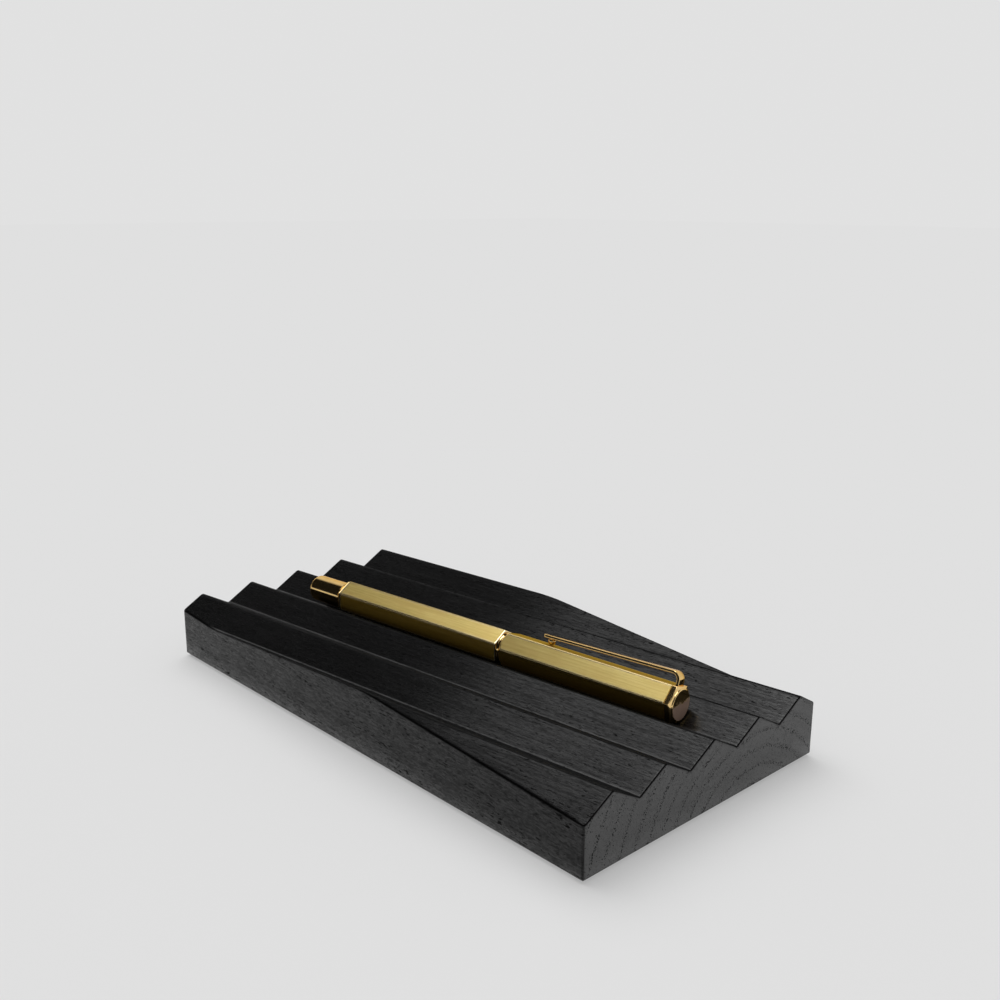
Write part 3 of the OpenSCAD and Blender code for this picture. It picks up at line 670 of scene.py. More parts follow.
# %% Mark the painted shade on the arrises and behind the crests, and the grooves' roots, on the mesh
def write_mark(mesh, name, values):
    """A number from 0 to 1 on each vertex, for a finish to read."""
    layer = mesh.attributes.new(name, "FLOAT", "POINT")
    layer.data.foreach_set("value", np.clip(values, 0, 1).astype(np.float32))


spots = mesh_points(block_mesh)
along, across = spots @ ALONG, spots @ ACROSS
behind_crest = past_crest(across)
depth = zigzag(across) - spots[:, 2]
on_top = np.clip(1 - depth / (0.05 * MM), 0, 1)

# painted shade lines along the plan's edge, and along the front edge of each crest
edge_gap = np.hypot(edge_distance(along, across) - 0.3 * SOFT_EDGE, depth - 0.3 * SOFT_EDGE)
crest_gap = np.abs(behind_crest + CREST_FLAT / 2)
arris_shade = np.maximum(1.4 - edge_gap / (0.25 * MM), on_top * (1.2 - crest_gap / (0.15 * MM)))
# a paler thread is painted in each groove, a little behind its middle
root_gap = np.abs(behind_crest + GROOVE_PITCH / 2 - 0.25 * MM)
root = on_top * (1.3 - root_gap / (0.2 * MM))
# painted shade: the crest and the slope behind it are painted black, from the crest's front edge on
lee_shade = on_top * (behind_crest / (0.1 * MM) + CREST_FLAT / (0.2 * MM))
for name, values in (("arris_shade", arris_shade), ("root", root), ("lee_shade", lee_shade)):
    write_mark(block_mesh, name, values)
place_piece("wood_block", block_mesh, "rest_block", finishes["stained_wood"])

# %% [markdown]
# ## Felt pads
#
# Four pads are let into the block's underside and stand half a millimetre proud. A punched
# felt disc swells at its cut edge, so its profile is a soft bulge and not a plain cylinder.

# %% Felt pads
def turned(profile, centre, axis, side, angles=64):
    """A profile of radius and station, carried round an axis. The start angle points to the
    side, and stations run along the axis from the centre."""
    profile = np.asarray(profile, float)
    third = np.cross(axis, side)
    turn = np.linspace(0, 2 * np.pi, angles, endpoint=False)
    spokes = np.cos(turn)[:, None] * side + np.sin(turn)[:, None] * third
    return centre + profile[:, 0, None, None] * spokes + profile[:, 1, None, None] * axis


def felt_profile(radius, thickness):
    """A disc from its lower middle to its upper middle, with a bulging edge."""
    turn = np.linspace(-np.pi / 2, np.pi / 2, 9)
    bulge = 0.35 * thickness
    edge = np.stack([radius - bulge + bulge * np.cos(turn), thickness / 2 * (1 + np.sin(turn))], axis=1)
    return np.concatenate([[[0, 0], [radius / 2, 0]], edge, [[radius / 2, thickness], [0, thickness]]])


for node in sorted(frame["nodes"]):
    if node.startswith("foot_pad"):
        low, high = (np.array(corner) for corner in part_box(node))
        centre = np.array([*(low + high)[:2] / 2, low[2]])
        profile = felt_profile((high[0] - low[0]) / 2, high[2] - low[2])
        disc = turned(profile, centre, UP, np.array([1.0, 0.0, 0.0]))
        pad_mesh = mesh_from_grid(node + "_disc", disc)
        place_piece(node.replace("foot_pad", "felt_pad"), pad_mesh, node, finishes["felt"])

# %% [markdown]
# ## A six-sided bar as a radius
#
# Seen from its end, the pen's body is a hexagon with slightly round corners. Written as a
# radius for each direction it mixes well with anything turned: the cap's mouth is where the
# hexagon meets a cone, and the smaller of the two radii is the real surface.

# %% Radius of a six-sided bar
FLAT_REACH = radius_of("barrel_shell") * math.cos(math.radians(30))
CORNER_ROUND = 0.38 * MM


def bar_angles():
    """Directions round a bar in radians, crowded towards its six corners."""
    near = np.array([0, 0.35, 0.7, 1.05, 1.4, 1.75, 2.1, 2.8, 4.2, 7, 11, 16, 22.5])
    sector = np.concatenate([near, [30], 60 - near[:0:-1]])
    return np.radians((np.arange(6)[:, None] * 60 + sector).ravel())


def bar_radius(turn, flat, rounding=CORNER_ROUND):
    """Distance to the skin of a hexagon with a corner at angle 0. On a flat it is the flat's
    reach over the cosine of the angle from its middle. Near a corner it is where the ray
    meets a circle of the rounding's radius."""
    from_corner = np.abs((turn + np.pi / 6) % (np.pi / 3) - np.pi / 6)
    from_flat = np.pi / 6 - from_corner
    hub = (flat - rounding) / math.cos(np.pi / 6)
    on_flat = flat / np.cos(from_flat)
    across_hub = hub * np.sin(from_corner)
    on_round = hub * np.cos(from_corner) + np.sqrt(np.maximum(rounding ** 2 - across_hub ** 2, 0))
    round_share = np.tan(from_flat) * flat > (flat - rounding) * math.tan(np.pi / 6)
    return np.where(round_share, on_round, on_flat)


def pen_space(station, radius, turn):
    """Points from a station along the pen, a radius and a turn from the top to the back."""
    station, radius, turn = np.broadcast_arrays(station, radius, turn)
    return (PEN_CENTRE + station[..., None] * ALONG + (radius * np.cos(turn))[..., None] * UP
            + (radius * np.sin(turn))[..., None] * ACROSS)


TURNS = bar_angles()
print("flats %.2f mm apart, corners rounded by %.2f mm" % (2 * FLAT_REACH / MM, CORNER_ROUND / MM))

# %% [markdown]
# ## Barrel
#
# The barrel is a tube: six-sided outside and round inside. Each flat falls away to the back
# end in a long soft shoulder and to the mouth in a short one. Both are polished smoother and
# painted paler, a painted highlight.
# A Bevel modifier would give every edge one width, so the shoulder is an arc in the rings
# themselves. The barrel comes off backwards, so its bore and its closed end are made too.

# %% Barrel
barrel_start, barrel_end = reach("barrel_shell")
SHOULDER, SHOULDER_SLOPE = 2.2 * MM, 40.0
MOUTH_SHOULDER, MOUTH_SLOPE = 0.25 * MM, 32.0
END_BREAK = 0.12 * MM
BARREL_BORE, INSERT_SEAT, TAIL_HOLE = 4.0 * MM, 4.25 * MM, 2.05 * MM
BARREL_END_WALL = 3.0 * MM


def shoulder_rings(station, run, steepest):
    """A broken edge, then an arc that flattens out from its steepest slope in degrees until
    it is flush with the flat. A negative run goes backwards from a front end."""
    bend = np.radians(np.linspace(steepest, 0, 9))
    inwards, bow = math.copysign(1, run), abs(run) / math.sin(bend[0])
    fall = bow * (1 - math.cos(bend[0]))
    rings = [(station, fall + END_BREAK, "bar"),
             (station + inwards * 0.1 * END_BREAK, fall + 0.8 * END_BREAK, "bar")]
    return rings + [(station + run + inwards * (END_BREAK - bow * math.sin(slope)),
                     bow * (1 - math.cos(slope)), "bar") for slope in bend]


def bar_grid(rings, turns, roll=0.0):
    """Rings of a bar. A ring is a station, then the inset of its flats or the radius of a
    bore, then which of the two it is."""
    rows = []
    for station, size, kind in rings:
        radius = bar_radius(turns, FLAT_REACH - size) if kind == "bar" else np.full(turns.shape, size)
        rows.append(pen_space(station, radius, turns + roll))
    return np.stack(rows)


barrel_length = barrel_end - barrel_start
outside = shoulder_rings(barrel_start, SHOULDER, SHOULDER_SLOPE)
outside += [(barrel_start + barrel_length * share, 0.0, "bar") for share in (0.05, 0.25, 0.5, 0.75)]
outside += shoulder_rings(barrel_end, -MOUTH_SHOULDER, MOUTH_SLOPE)[::-1]
seat_end = reach("barrel_insert")[0] - 0.2 * MM
floor = barrel_start + BARREL_END_WALL
inside = [(station, radius, "bore") for station, radius in (
    (barrel_end, INSERT_SEAT + 0.1 * MM), (barrel_end - 0.1 * MM, INSERT_SEAT), (seat_end, INSERT_SEAT),
    (seat_end, BARREL_BORE), (floor, BARREL_BORE), (floor, TAIL_HOLE), (barrel_start, TAIL_HOLE))]
barrel_mesh = mesh_from_grid("brass_barrel", bar_grid(outside + inside, TURNS), closed=True, sharp=30)
print("barrel %.1f mm long with %d rings" % (barrel_length / MM, len(outside + inside)))


# %% Wear on the brass, with painted shade and painted highlights
def ridge_wear_and_glint(radius):
    """0.5 on the six ridges of a bar, and 0 elsewhere. Handling wears the ridges smooth, and they are painted
    paler, a painted highlight.
    """
    return np.clip((radius - radius.max()) / (0.15 * MM) + 1.6, 0, 1) * 0.5


def painted_shade_cover(outwards, roll=0.0):
    """0 on the flat that looks up and forwards, and 1 on the others, which are painted darker as
    painted shade. It changes at the ridges, 30 degrees from the flat's middle, where the cosine is 0.86."""
    turn = roll - math.radians(30)
    unshaded_flat = math.cos(turn) * UP + math.sin(turn) * ACROSS
    return np.clip((0.862 - outwards @ unshaded_flat) / 0.004, 0, 1)


station, radius, outwards = pen_places(barrel_mesh)
from_shoulder = np.minimum(station - barrel_start - SHOULDER, barrel_end - station - MOUTH_SHOULDER)
# painted shade on every flat but the one that looks up and forwards
write_mark(barrel_mesh, "painted_flat_shade", painted_shade_cover(outwards))
# shoulders and ridges: smoother, and painted paler, a painted highlight
write_mark(barrel_mesh, "polish_and_glint", np.maximum(1.2 - from_shoulder / (0.1 * MM), ridge_wear_and_glint(radius)))
place_piece("brass_barrel", barrel_mesh, "barrel_shell", finishes["satin_brass"])

# %% [markdown]
# ## Cap
#
# The cap has the barrel's section and is rolled a little, as a cap lands when it is pushed
# on. Its mouth is turned to a cone, which cuts deeper into the corners than into the flats
# and leaves scalloped edges. A Boolean with a cone would give those edges too, but no soft
# change over them. Taking the smaller of two radii at each point gives both by itself.

# %% Cap
cap_start, cap_end = reach("cap_shell")
CORNER_REACH = FLAT_REACH / math.cos(math.radians(30))
CONE_MOUTH, MOUTH_CONE = FLAT_REACH - 0.15 * MM, 1.3 * MM
CAP_BORE, EDGE_BEVEL = 4.2 * MM, 0.15 * MM


def cone_radius(past_mouth):
    """Radius of the cone that the mouth is turned to, growing to the corners' reach."""
    return CONE_MOUTH + past_mouth * (CORNER_REACH - CONE_MOUTH) / MOUTH_CONE


def bevel_rings(station, size, inwards):
    """Rings of a bevel with softened edges, from the end face to the side."""
    steps = [(0.0, 1.12), (0.0, 0.98), (0.06, 0.86), (0.86, 0.06), (1.0, 0.0), (1.3, 0.0)]
    return [(station + inwards * size * step, size * inset, "bar") for step, inset in steps]


def soft_min(first, second, blend):
    """The smaller of two values, with a rounded change over about the blend's size."""
    return -soft_max(-first, -second, blend)


def cap_outside(turns):
    """Rings of the cap's outside: hexagon or cone, whichever is smaller."""
    stations = np.concatenate([np.linspace(0, 1.7, 30), [2.2, 4, 12, 28, 44]]) * MM
    radius = soft_min(bar_radius(turns, FLAT_REACH)[None], cone_radius(stations)[:, None], 0.08 * MM)
    mouth_edge = np.minimum(radius[0] - 0.05 * MM, CONE_MOUTH)
    rows = [pen_space(cap_start, mouth_edge - 0.08 * MM, turns + CAP_ROLL)[None],
            pen_space(cap_start + stations[:, None] + 0.02 * MM, radius, turns + CAP_ROLL)]
    bevel = bevel_rings(cap_end, EDGE_BEVEL, -1)[::-1]
    return np.concatenate(rows + [bar_grid(bevel, turns, CAP_ROLL)])


bore = [(cap_end, CAP_BORE, "bore"), (cap_start + 0.2 * MM, CAP_BORE, "bore"),
        (cap_start, CAP_BORE + 0.12 * MM, "bore")]
cap_grid = np.concatenate([cap_outside(TURNS), bar_grid(bore, TURNS, CAP_ROLL)])
cap_mesh = mesh_from_grid("brass_cap", cap_grid, closed=True, sharp=30)

station, radius, outwards = pen_places(cap_mesh)
past_mouth = station - cap_start
# the mouth cone is marked like the ridges: smoother, and painted paler as a painted highlight
on_cone = 1.5 - np.abs(radius - cone_radius(past_mouth)) / (0.08 * MM)
cone_wear_and_glint = np.where(past_mouth < MOUTH_CONE, on_cone, 0)
write_mark(cap_mesh, "painted_flat_shade", painted_shade_cover(outwards, CAP_ROLL))
write_mark(cap_mesh, "polish_and_glint", np.maximum(cone_wear_and_glint, ridge_wear_and_glint(radius)))
place_piece("brass_cap", cap_mesh, "cap_shell", finishes["satin_brass"])

# %% [markdown]
# ## End plate
#
# A polished plate closes the cap like a nut: six flats, a chamfer turned all round, and a
# round flat face. Its screw stud goes into the cap's bush. A slot behind the top takes the
# clip's foot, and a Boolean cuts it, because a slot is easier to cut than to lay out.

# %% End plate
plate_start, plate_end = cap_end, reach("cap_end_plate")[1]
FACE_RADIUS, FACE_RIM = 4.4 * MM, 0.35 * MM
STUD_RADIUS, STUD_LENGTH = 1.5 * MM, 4.5 * MM
CHAMFER_SLOPE = math.tan(math.radians(26))


def plate_grid(turns):
    """Stud, inner face, six flats, cone and outer face, as one profile of radii."""
    tip, inner_face = plate_start - STUD_LENGTH, 3.6 * MM
    stud = [(station, radius, "bore") for station, radius in (
        (tip, 0.0), (tip, 0.8 * STUD_RADIUS), (tip + 0.3 * MM, STUD_RADIUS),
        (plate_start, STUD_RADIUS), (plate_start, inner_face))]
    stud += bevel_rings(plate_start, EDGE_BEVEL, 1)
    rim = plate_end - FACE_RIM
    cone_foot = rim - (CORNER_REACH - FACE_RADIUS) * CHAMFER_SLOPE
    stations = np.linspace(cone_foot - 0.15 * MM, rim, 22)
    cone = FACE_RADIUS + (rim - stations) / CHAMFER_SLOPE
    radius = soft_min(bar_radius(turns, FLAT_REACH)[None], cone[:, None], 0.06 * MM)
    edge = np.radians(np.linspace(10, 90, 6))
    face = [(rim + FACE_RIM * math.sin(bend), FACE_RADIUS - FACE_RIM * (1 - math.cos(bend)), "bore")
            for bend in edge]
    face += [(plate_end, FACE_RADIUS * share, "bore") for share in (0.8, 0.5, 0.2, 0.0)]
    return np.concatenate([bar_grid(stud, turns, CAP_ROLL),
                           pen_space(stations[:, None], radius, turns + CAP_ROLL),
                           bar_grid(face, turns, CAP_ROLL)])


def clip_space(station, rise, side):
    """Points in the clip's own frame: along the pen, out of its flat, and across it."""
    station, rise, side = np.broadcast_arrays(station, rise, side)
    return (PEN_CENTRE + station[..., None] * ALONG + rise[..., None] * CLIP_OUT
            + side[..., None] * CLIP_ACROSS)


def cut_box(mesh, low, high):
    """Cuts a box, given in the clip's frame, out of a mesh and returns the new mesh."""
    body = bpy.data.objects.new("blank", mesh)
    cutter_mesh = bpy.data.meshes.new("cutter")
    corners = np.array(list(itertools.product(*zip(low, high))))
    sides = [(0, 1, 3, 2), (4, 6, 7, 5), (0, 4, 5, 1), (2, 3, 7, 6), (0, 2, 6, 4), (1, 5, 7, 3)]
    cutter_mesh.from_pydata(clip_space(*corners.T), [], sides)
    cutter = bpy.data.objects.new("cutter", cutter_mesh)
    for thing in (body, cutter):
        bpy.context.scene.collection.objects.link(thing)
    cut = body.modifiers.new("slot", "BOOLEAN")
    cut.operation, cut.solver, cut.object = "DIFFERENCE", "EXACT", cutter
    bpy.context.view_layer.update()
    result = bpy.data.meshes.new_from_object(body.evaluated_get(bpy.context.evaluated_depsgraph_get()))
    for thing in (body, cutter):
        bpy.data.objects.remove(thing)
    result.name = mesh.name
    return result


clip_low_station, clip_high_station = reach("clip")
CLIP_WIDTH, CLIP_THICK, CLIP_FOOT = 3.0 * MM, 0.85 * MM, 1.3 * MM
SLOT_ROOM = 0.15 * MM
plate_mesh = mesh_from_grid("end_plate", plate_grid(TURNS), sharp=24)
slot_side = CLIP_WIDTH / 2 + SLOT_ROOM
slot_low = (plate_start - 0.1 * MM, FLAT_REACH - CLIP_FOOT - SLOT_ROOM, -slot_side)
slot_high = (clip_high_station + SLOT_ROOM, FLAT_REACH + 2 * MM, slot_side)
plate_mesh = cut_box(plate_mesh, slot_low, slot_high)
write_mark(plate_mesh, "tarnish", pen_places(plate_mesh)[0] > plate_end - 0.01 * MM)
place_piece("end_plate", plate_mesh, "cap_end_plate", finishes["bright_brass"])

# %% [markdown]
# ## Clip and ball
#
# The clip is one polished strip. It stands in the plate's slot, bends over, runs along the
# flat behind the pen's top and ends in a round tip with a ball under it. A curve with a bevel
# profile would give the strip, but not its round tip. So a rounded oblong is carried along
# the strip's middle line, and near the tip its width follows a half circle.

# %% Clip
CLIP_BEND, CLIP_RISE = 1.6 * MM, 2.7 * MM
CLIP_FALL = math.radians(1.2)
leg_station = clip_high_station - CLIP_THICK / 2
strip_low = FLAT_REACH + CLIP_RISE


def clip_line():
    """The strip's middle line of leg, bend and arm, as rows of station and rise, then at each
    point the turn that its upper face looks out at, and its half width."""
    leg = np.array([[leg_station, FLAT_REACH - CLIP_FOOT], [leg_station, FLAT_REACH + 0.4 * MM]])
    leg_out = np.zeros(2)
    turn = np.radians(np.linspace(0, 90, 17))
    radius = CLIP_BEND + CLIP_THICK / 2
    hub = np.array([leg_station - radius, strip_low - CLIP_BEND])
    bend = hub + radius * np.stack([np.cos(turn), np.sin(turn)], axis=1)
    arm_start, tip = hub[0], clip_low_station
    half = CLIP_WIDTH / 2
    round_turn = np.radians(np.linspace(0, 90, 13))[1:]
    straight = np.linspace(arm_start, tip + half, 9)[1:]
    stations = np.concatenate([straight, tip + half * (1 - np.sin(round_turn))])
    widths = np.concatenate([np.full(len(straight), half), half * np.cos(round_turn)])
    rise = strip_low + CLIP_THICK / 2 - (arm_start - stations) * math.tan(CLIP_FALL)
    arm = np.stack([stations, rise], axis=1)
    line = np.concatenate([leg, bend, arm])
    out = np.concatenate([leg_out, turn, np.full(len(arm), np.pi / 2)])
    width = np.concatenate([np.full(len(leg) + len(bend), half), widths])
    return line, out, np.maximum(width, 0.01 * MM)


def oblong(half_width, half_thick, rounding=0.2 * MM, steps=5):
    """A closed section of side and out values: an oblong with round corners, never rounder
    than its own width allows."""
    rounding = np.minimum(rounding, half_width)[:, None]
    turn = np.concatenate([np.linspace(a, a + np.pi / 2, steps) for a in np.arange(4) * np.pi / 2])
    sign_side, sign_out = np.sign(np.cos(turn + 1e-9)), np.sign(np.sin(turn + 1e-9))
    lift = np.minimum(rounding, half_thick)
    side = sign_side * (half_width[:, None] - rounding) + rounding * np.cos(turn)
    out = sign_out * (half_thick - lift) + lift * np.sin(turn)
    return side, out


line, out_turn, half_width = clip_line()
side, out = oblong(half_width, CLIP_THICK / 2)
clip_points = clip_space(line[:, :1] + out * np.cos(out_turn)[:, None],
                         line[:, 1:] + out * np.sin(out_turn)[:, None], side)
ends = [np.broadcast_to(clip_points[k].mean(axis=0), clip_points[k].shape)[None] for k in (0, -1)]
clip_mesh = mesh_from_grid("clip_strip", np.concatenate([ends[0], clip_points, ends[1]]), sharp=35)
place_piece("clip_strip", clip_mesh, "clip", finishes["bright_brass"])

# %% Ball under the clip's tip
low, high = (np.array(corner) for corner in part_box("clip_ball"))
arc = np.linspace(0, np.pi, 33)
half_circle = (high - low).mean() / 2 * np.stack([np.sin(arc), -np.cos(arc)], axis=1)
ball = turned(half_circle, (low + high) / 2, CLIP_OUT, ALONG, 48)
ball_mesh = mesh_from_grid("ball_under_tip", ball)
place_piece("ball_under_tip", ball_mesh, "clip_ball", finishes["bright_brass"])

# %% [markdown]
# ## Turned pieces on the pen
#
# The tail and the ring between barrel and cap come off a lathe, so each is one profile turned
# about the pen's axis. Spin and the Screw modifier do the same for a drawn profile, but here
# the profile follows the solids' own stations. The ring's rim is a shallow cone that falls
# towards the cap, which is what makes it catch the light as a thin line.

# %% Tail and ring
def arc_points(centre, radius, start, stop, steps=7):
    """Points on an arc as radius and station, from one angle to another in degrees."""
    turn = np.radians(np.linspace(start, stop, steps))
    return [(centre[0] + radius * math.cos(a), centre[1] + radius * math.sin(a)) for a in turn]


def pen_lathe(profile, angles=96):
    """A profile of radius and station in millimetres, turned about the pen's axis."""
    profile = np.array(profile) * MM
    return pen_space(profile[:, 1:], profile[:, :1], np.linspace(0, 2 * np.pi, angles, endpoint=False))


def reach_mm(node):
    """The lowest and the highest station of a node, in millimetres as a profile has them."""
    return [station / MM for station in reach(node)]


TAIL_RADIUS, TAIL_TAPER, TAIL_STUD = 4.25, 0.1, 2.0
tail_start, tail_join = reach_mm("tail_piece")[0], barrel_start / MM
taper_run = tail_join - tail_start - 1.2
tail_profile = [(0, tail_join + 2.8), (TAIL_STUD - 0.3, tail_join + 2.8), (TAIL_STUD, tail_join + 2.5),
                (TAIL_STUD, tail_join), (TAIL_RADIUS - 0.12, tail_join), (TAIL_RADIUS, tail_join - 0.12)]
tail_profile += [(TAIL_RADIUS - TAIL_TAPER * share, tail_join - 0.12 - taper_run * share)
                 for share in (0.5, 1)]
tail_profile += arc_points((TAIL_RADIUS - TAIL_TAPER - 1.0, tail_start + 1.0), 1.0, 0, -90, 10)
tail_profile += [(2.7, tail_start), (2.5, tail_start + 0.12), (1.2, tail_start + 0.2), (0, tail_start + 0.2)]
tail_mesh = mesh_from_grid("turned_tail", pen_lathe(tail_profile), sharp=35)
place_piece("turned_tail", tail_mesh, "tail_piece", finishes["bright_brass"])

RING_BORE = 3.75
ring_start, ring_end = reach_mm("centre_ring")
ring_radius = radius_of("centre_ring") / MM
ring_profile = [(RING_BORE, ring_start), (ring_radius - 0.1, ring_start), (ring_radius, ring_start + 0.08),
                (ring_radius - 0.02, ring_start + 0.14), (ring_radius - 0.24, ring_end - 0.06),
                (ring_radius - 0.3, ring_end), (RING_BORE, ring_end)]
ring_mesh = mesh_from_grid("joint_ring", pen_lathe(ring_profile), closed=True, sharp=35)
place_piece("joint_ring", ring_mesh, "centre_ring", finishes["bright_brass"])

# %% [markdown]
# ## Section and screw threads
#
# The section is what the fingers hold, and its tail screws into the barrel. A thread could
# be a small profile swept along a helix and joined to the bar, which leaves a seam to hide.
# Here the bar's own radius is a wave instead, whose phase shifts by one pitch for each full
# turn, which is what a thread is. The barrel's threaded insert is the same wave, inside.

# %% Section and its thread
THREAD_PITCH, THREAD_DEPTH, THREAD_RADIUS = 1.0, 0.28, 3.7


def thread_wave(station, turn, start, stop):
    """0 on a thread's crest and 1 at its root, fading out at both ends of the thread."""
    phase = station / THREAD_PITCH - turn / (2 * np.pi)
    wave = 1 - np.abs(2 * (phase % 1) - 1)
    fade = np.clip(np.minimum(station - start, stop - station) / 0.8, 0, 1)
    return np.clip(wave * 1.6 - 0.3, 0, 1) * fade


def threaded(start, stop, radius, depth, angles=64, steps=14):
    """A threaded length as a grid: the radius moves by the thread's depth."""
    turn = np.linspace(0, 2 * np.pi, angles, endpoint=False)
    station = np.linspace(start, stop, int((stop - start) * steps / THREAD_PITCH))[:, None]
    skin = radius + depth * thread_wave(station, turn, start, stop)
    return pen_space(station * MM, skin * MM, turn)


def smooth_profile(points, steps=12):
    """A profile through given points with eased steps between them."""
    points = np.array(points)
    share = np.linspace(0, 1, steps)[:, None]
    eased = share * share * (3 - 2 * share)
    stretches = [np.concatenate([first[:1] + (second[:1] - first[:1]) * eased,
                                 first[1:] + (second[1:] - first[1:]) * share], axis=1)
                 for first, second in zip(points, points[1:])]
    return [tuple(point) for point in np.concatenate(stretches)]


section_start, section_end = reach_mm("section_grip")
flange = ring_end + 0.5
seal_low, seal_high = flange + 1.8, flange + 2.7
SHAFT, SEAL_SEAT, NIB_BORE, INK_BORE, CONVERTER_SEAT = 3.8, 3.05, 2.65, 1.2, 2.95
before = [(THREAD_RADIUS - 0.3, section_start), (THREAD_RADIUS, section_start + 0.3)]
after = [(THREAD_RADIUS, ring_end), (4.1, ring_end), (4.1, flange), (SHAFT, flange), (SHAFT, seal_low),
         (SEAL_SEAT, seal_low), (SEAL_SEAT, seal_high), (SHAFT, seal_high), (SHAFT, flange + 4.4),
         (SHAFT - 0.1, flange + 4.5)]
after += smooth_profile([(3.63, flange + 5.1), (3.15, section_end - 4), (3.35, section_end - 1)])
after += arc_points((2.95, section_end - 0.4), 0.4, 0, 90, 6)
after += [(NIB_BORE, section_end), (NIB_BORE, section_end - 17), (INK_BORE, section_end - 17),
          (INK_BORE, section_start + 8), (CONVERTER_SEAT, section_start + 8), (CONVERTER_SEAT, section_start)]
thread = threaded(section_start + 0.35, ring_end - 0.35, THREAD_RADIUS, -THREAD_DEPTH)
section_grid = np.concatenate([pen_lathe(before, 64), thread, pen_lathe(after, 64)])
section_mesh = mesh_from_grid("grip_section", section_grid, closed=True, sharp=40)
place_piece("grip_section", section_mesh, "section_grip", finishes["black_plastic"])

# %% Barrel's threaded insert
insert_start, insert_end = reach_mm("barrel_insert")
inner_thread = threaded(insert_start + 0.1, insert_end - 0.1, THREAD_RADIUS + 0.05, 0.25)
insert_outside = [(3.85, insert_end), (4.2, insert_end), (4.2, insert_start), (3.85, insert_start)]
insert_grid = np.concatenate([inner_thread, pen_lathe(insert_outside, 64)])
insert_mesh = mesh_from_grid("threaded_insert", insert_grid, closed=True, sharp=40)
place_piece("threaded_insert", insert_mesh, "barrel_insert", finishes["bright_brass"])

# %% [markdown]
# ## Filler knob
#
# The converter's knob is moulded with twelve shallow flutes, so that wet fingers can turn
# it. Cutting them would take twelve Booleans. As a dip in the radius that repeats twelve
# times round, and runs out before each end, they are one formula.

# %% Filler knob
def fluted(start, stop, radius, depth, count=12, angles=144):
    """A fluted length: narrow round-bottomed dips that fade out towards both ends."""
    turn = np.linspace(0, 2 * np.pi, angles, endpoint=False)
    station = np.concatenate([np.linspace(start, start + 3, 12), np.linspace(stop - 3, stop, 12)])[:, None]
    dip = np.clip(np.cos(count * turn) * 1.4 - 0.4, 0, 1) ** 0.7
    fade = np.clip(np.minimum(station - start - 0.8, stop - 0.8 - station) / 1.2, 0, 1) ** 0.5
    return pen_space(station * MM, (radius - depth * dip * fade) * MM, turn)


knob_start, knob_front = reach_mm("converter_knob")
knob_neck = knob_start + 19.3
knob_radius = radius_of("converter_knob") / MM
KNOB_ROUND, FLUTE_DEPTH, NECK, ROD_BORE = 0.6, 0.22, 2.3, 1.25
back = arc_points((knob_radius - KNOB_ROUND, knob_start + KNOB_ROUND), KNOB_ROUND, -90, 0, 6)
front = [(knob_radius, knob_neck), (NECK, knob_neck), (NECK, knob_front), (ROD_BORE, knob_front),
         (ROD_BORE, knob_start + 1.0), (0, knob_start + 1.0)]
knob_grid = np.concatenate([pen_lathe([(0, knob_start)] + back, 144),
                            fluted(knob_start + KNOB_ROUND, knob_neck, knob_radius, FLUTE_DEPTH),
                            pen_lathe(front, 144)])
knob_mesh = mesh_from_grid("fluted_knob", knob_grid, sharp=40)
place_piece("fluted_knob", knob_mesh, "converter_knob", finishes["black_plastic"])

# %% [markdown]
# ## Studio
#
# The pen and block stand on a pale table. One broad lamp hangs high on the left and a pale
# sky does the rest, so the shadows are soft. A plain pale world all round would be simpler,
# but brass and waxed wood mirror what stands round them, and would look flat in it. So in
# glossy surfaces the room has a shape: a pale backdrop behind and a pale strip low down, dark
# elsewhere, and five level cards above that draw the highlights. The cards light nothing
# else, so the plain light on the object stays as it is.

# %% Table
PALE = 0.745
bpy.context.scene.view_settings.view_transform = "Standard"

table_mesh = bpy.data.meshes.new("table")
table_mesh.from_pydata([(-6, -6, 0), (6, -6, 0), (6, 6, 0), (-6, 6, 0)], [], [(0, 1, 2, 3)])
table = bpy.data.objects.new("table", table_mesh)
bpy.context.scene.collection.objects.link(table)

table_finish = Finish("pale_table")
spot = table_finish.add("ShaderNodeTexCoord", output=3)
away = table_finish.add("ShaderNodeVectorMath", {"operation": "LENGTH"}, {0: spot}, output=1)
directly, in_gloss, through_clear = table_finish.sight()
painted = table_finish.add("ShaderNodeBsdfDiffuse", None, {"Color": colour(0.8, 0.8, 0.8)})
glowing = table_finish.add("ShaderNodeEmission", None, {"Color": colour(PALE, PALE, PALE), "Strength": 1.0})
# near the block the paint takes its shadow, and further out it turns into an even pale ground
ground = away.band(0.12, 0.36, 0.45, 1.0) * (directly + in_gloss + through_clear)
both = table_finish.add("ShaderNodeMixShader", None, {0: ground, 1: painted, 2: glowing})
table_finish.add("ShaderNodeOutputMaterial", None, {"Surface": both})
table_mesh.materials.append(table_finish.material)
print("table's paint has", len(table_finish.tree.nodes), "nodes")

# %% Lamp and cards
lamp = bpy.data.lights.new("broad_lamp", "SUN")
lamp.energy = 1.72
lamp.angle = math.radians(60)
lamp_object = bpy.data.objects.new("broad_lamp", lamp)
lamp_object.rotation_euler = Vector((-0.52, 0.18, 1.0)).to_track_quat("Z", "Y").to_euler()
lamp_object.visible_glossy = False
bpy.context.scene.collection.objects.link(lamp_object)


CARD_HEIGHT, CARD_DEPTH = 0.45, 0.30


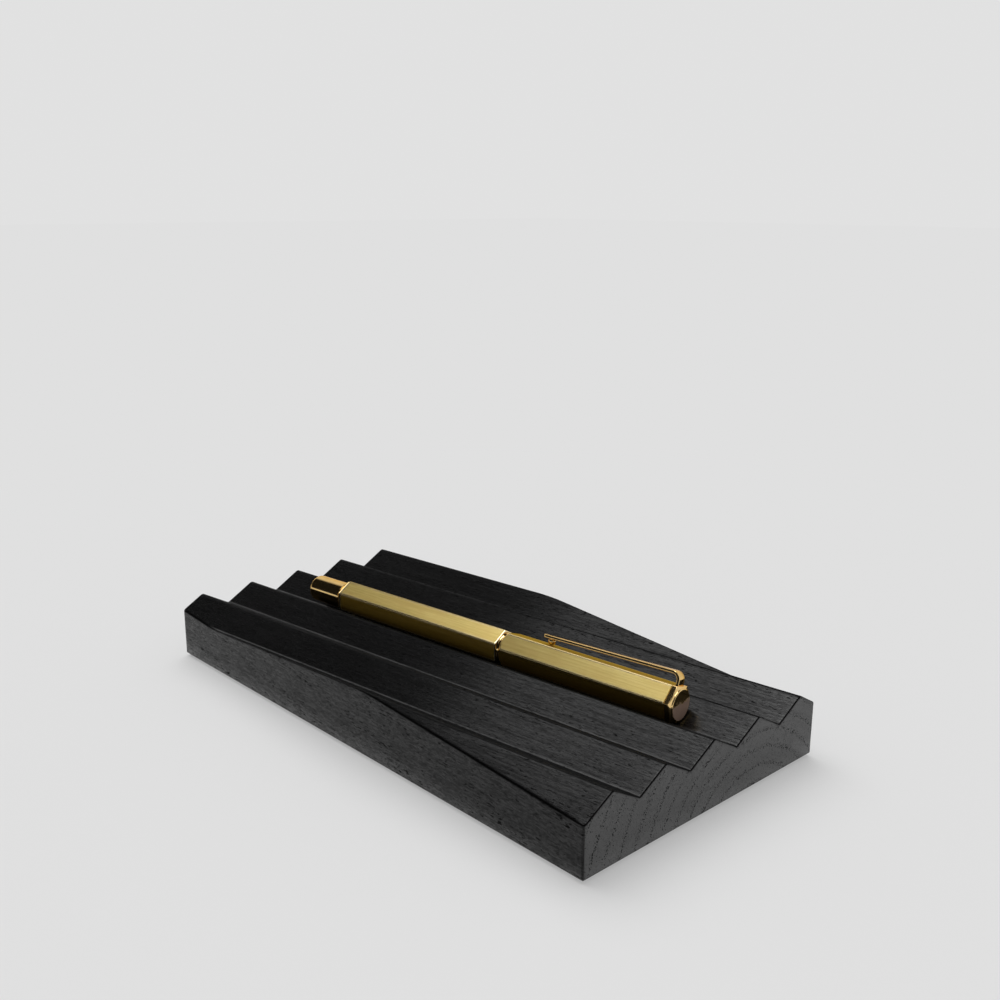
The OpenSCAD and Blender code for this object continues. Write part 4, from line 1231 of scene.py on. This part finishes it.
def softbox(name, x, y, width, brightness):
    """A level card above the table that only shines in glossy surfaces. A card of brightness
    1 gives off pi watts for each square metre."""
    light = bpy.data.lights.new(name, "AREA")
    light.shape = "RECTANGLE"
    light.size, light.size_y = width, CARD_DEPTH
    light.energy = math.pi * width * CARD_DEPTH * brightness
    card = bpy.data.objects.new(name, light)
    card.location = (x, y, CARD_HEIGHT)
    card.visible_diffuse = False
    card.visible_camera = False
    bpy.context.scene.collection.objects.link(card)


softbox("softbox_centre", 0.0, 0.0, 0.2, 4.6)
softbox("softbox_left", -0.2, 0.03, 0.2, 1.45)
softbox("softbox_front", 0.02, -0.31, 0.2, 0.7)
softbox("softbox_right", 0.30, 0.0, 0.2, 0.6)
softbox("softbox_far", -1.7, 0.2, 0.9, 1.6)


# %% Room
class RoomFinish(Finish):
    """The same way with nodes for the world's light."""

    def __init__(self, world):
        world.use_nodes = True
        self.tree = world.node_tree
        self.tree.nodes.clear()


SKY_LIGHT = 0.45
room_world = bpy.data.worlds.new("pale_room")
bpy.context.scene.world = room_world
room = RoomFinish(room_world)
direction = room.add("ShaderNodeTexCoord", output=0)
height = room.split(direction)[2]
behind = room.add("ShaderNodeVectorMath", {"operation": "DOT_PRODUCT"},
                  {0: direction, 1: tuple(ACROSS)}, output=1)
backdrop = behind.band(0.05, 0.25) * height.band(0.80, 0.60)
low_strip = height.band(0.12, 0.04)
directly, in_gloss, through_clear = room.sight()
dark = (1.0 - backdrop.or_more(low_strip)) * in_gloss
sky = room.add("ShaderNodeBackground", None, {"Color": colour(1, 1, 1), "Strength": SKY_LIGHT})
view = room.add("ShaderNodeBackground", None,
                {"Color": colour(1, 1, 1), "Strength": (1.0 - dark) * PALE + 0.01})
both = room.add("ShaderNodeMixShader", None, {0: directly + in_gloss + through_clear, 1: sky, 2: view})
room.add("ShaderNodeOutputWorld", None, {"Surface": both})
print("the room has", len(room.tree.nodes), "nodes")

# %% [markdown]
# ## Camera
#
# The camera stands low, off the block's right front corner, and looks back across it. Its
# three axes are worked out from yaw, pitch and a slight roll in radians, so that each can be
# turned by itself. A Track To constraint is quicker to set up, but gives no roll.

# %% Camera
CAMERA_PLACE = (0.2414, -0.2122, 0.1474)
camera_data = bpy.data.cameras.new("camera")
camera_data.lens = 41.37
camera_data.sensor_width = 36
camera_data.clip_start = 0.01
camera = bpy.data.objects.new("camera", camera_data)
yaw, pitch, roll = 0.8205, 0.2574, 0.0041
ahead = Vector((-math.sin(yaw) * math.cos(pitch), math.cos(yaw) * math.cos(pitch), -math.sin(pitch)))
right = Vector((math.cos(yaw), math.sin(yaw), 0))
upright = right.cross(ahead)
camera_right = right * math.cos(roll) + upright * math.sin(roll)
camera_up = upright * math.cos(roll) - right * math.sin(roll)
turned_frame = Matrix((camera_right, camera_up, -ahead)).transposed()
camera.matrix_world = Matrix.Translation(CAMERA_PLACE) @ turned_frame.to_4x4()
bpy.context.scene.collection.objects.link(camera)
bpy.context.scene.camera = camera
print("camera at", [round(value, 4) for value in camera.location])
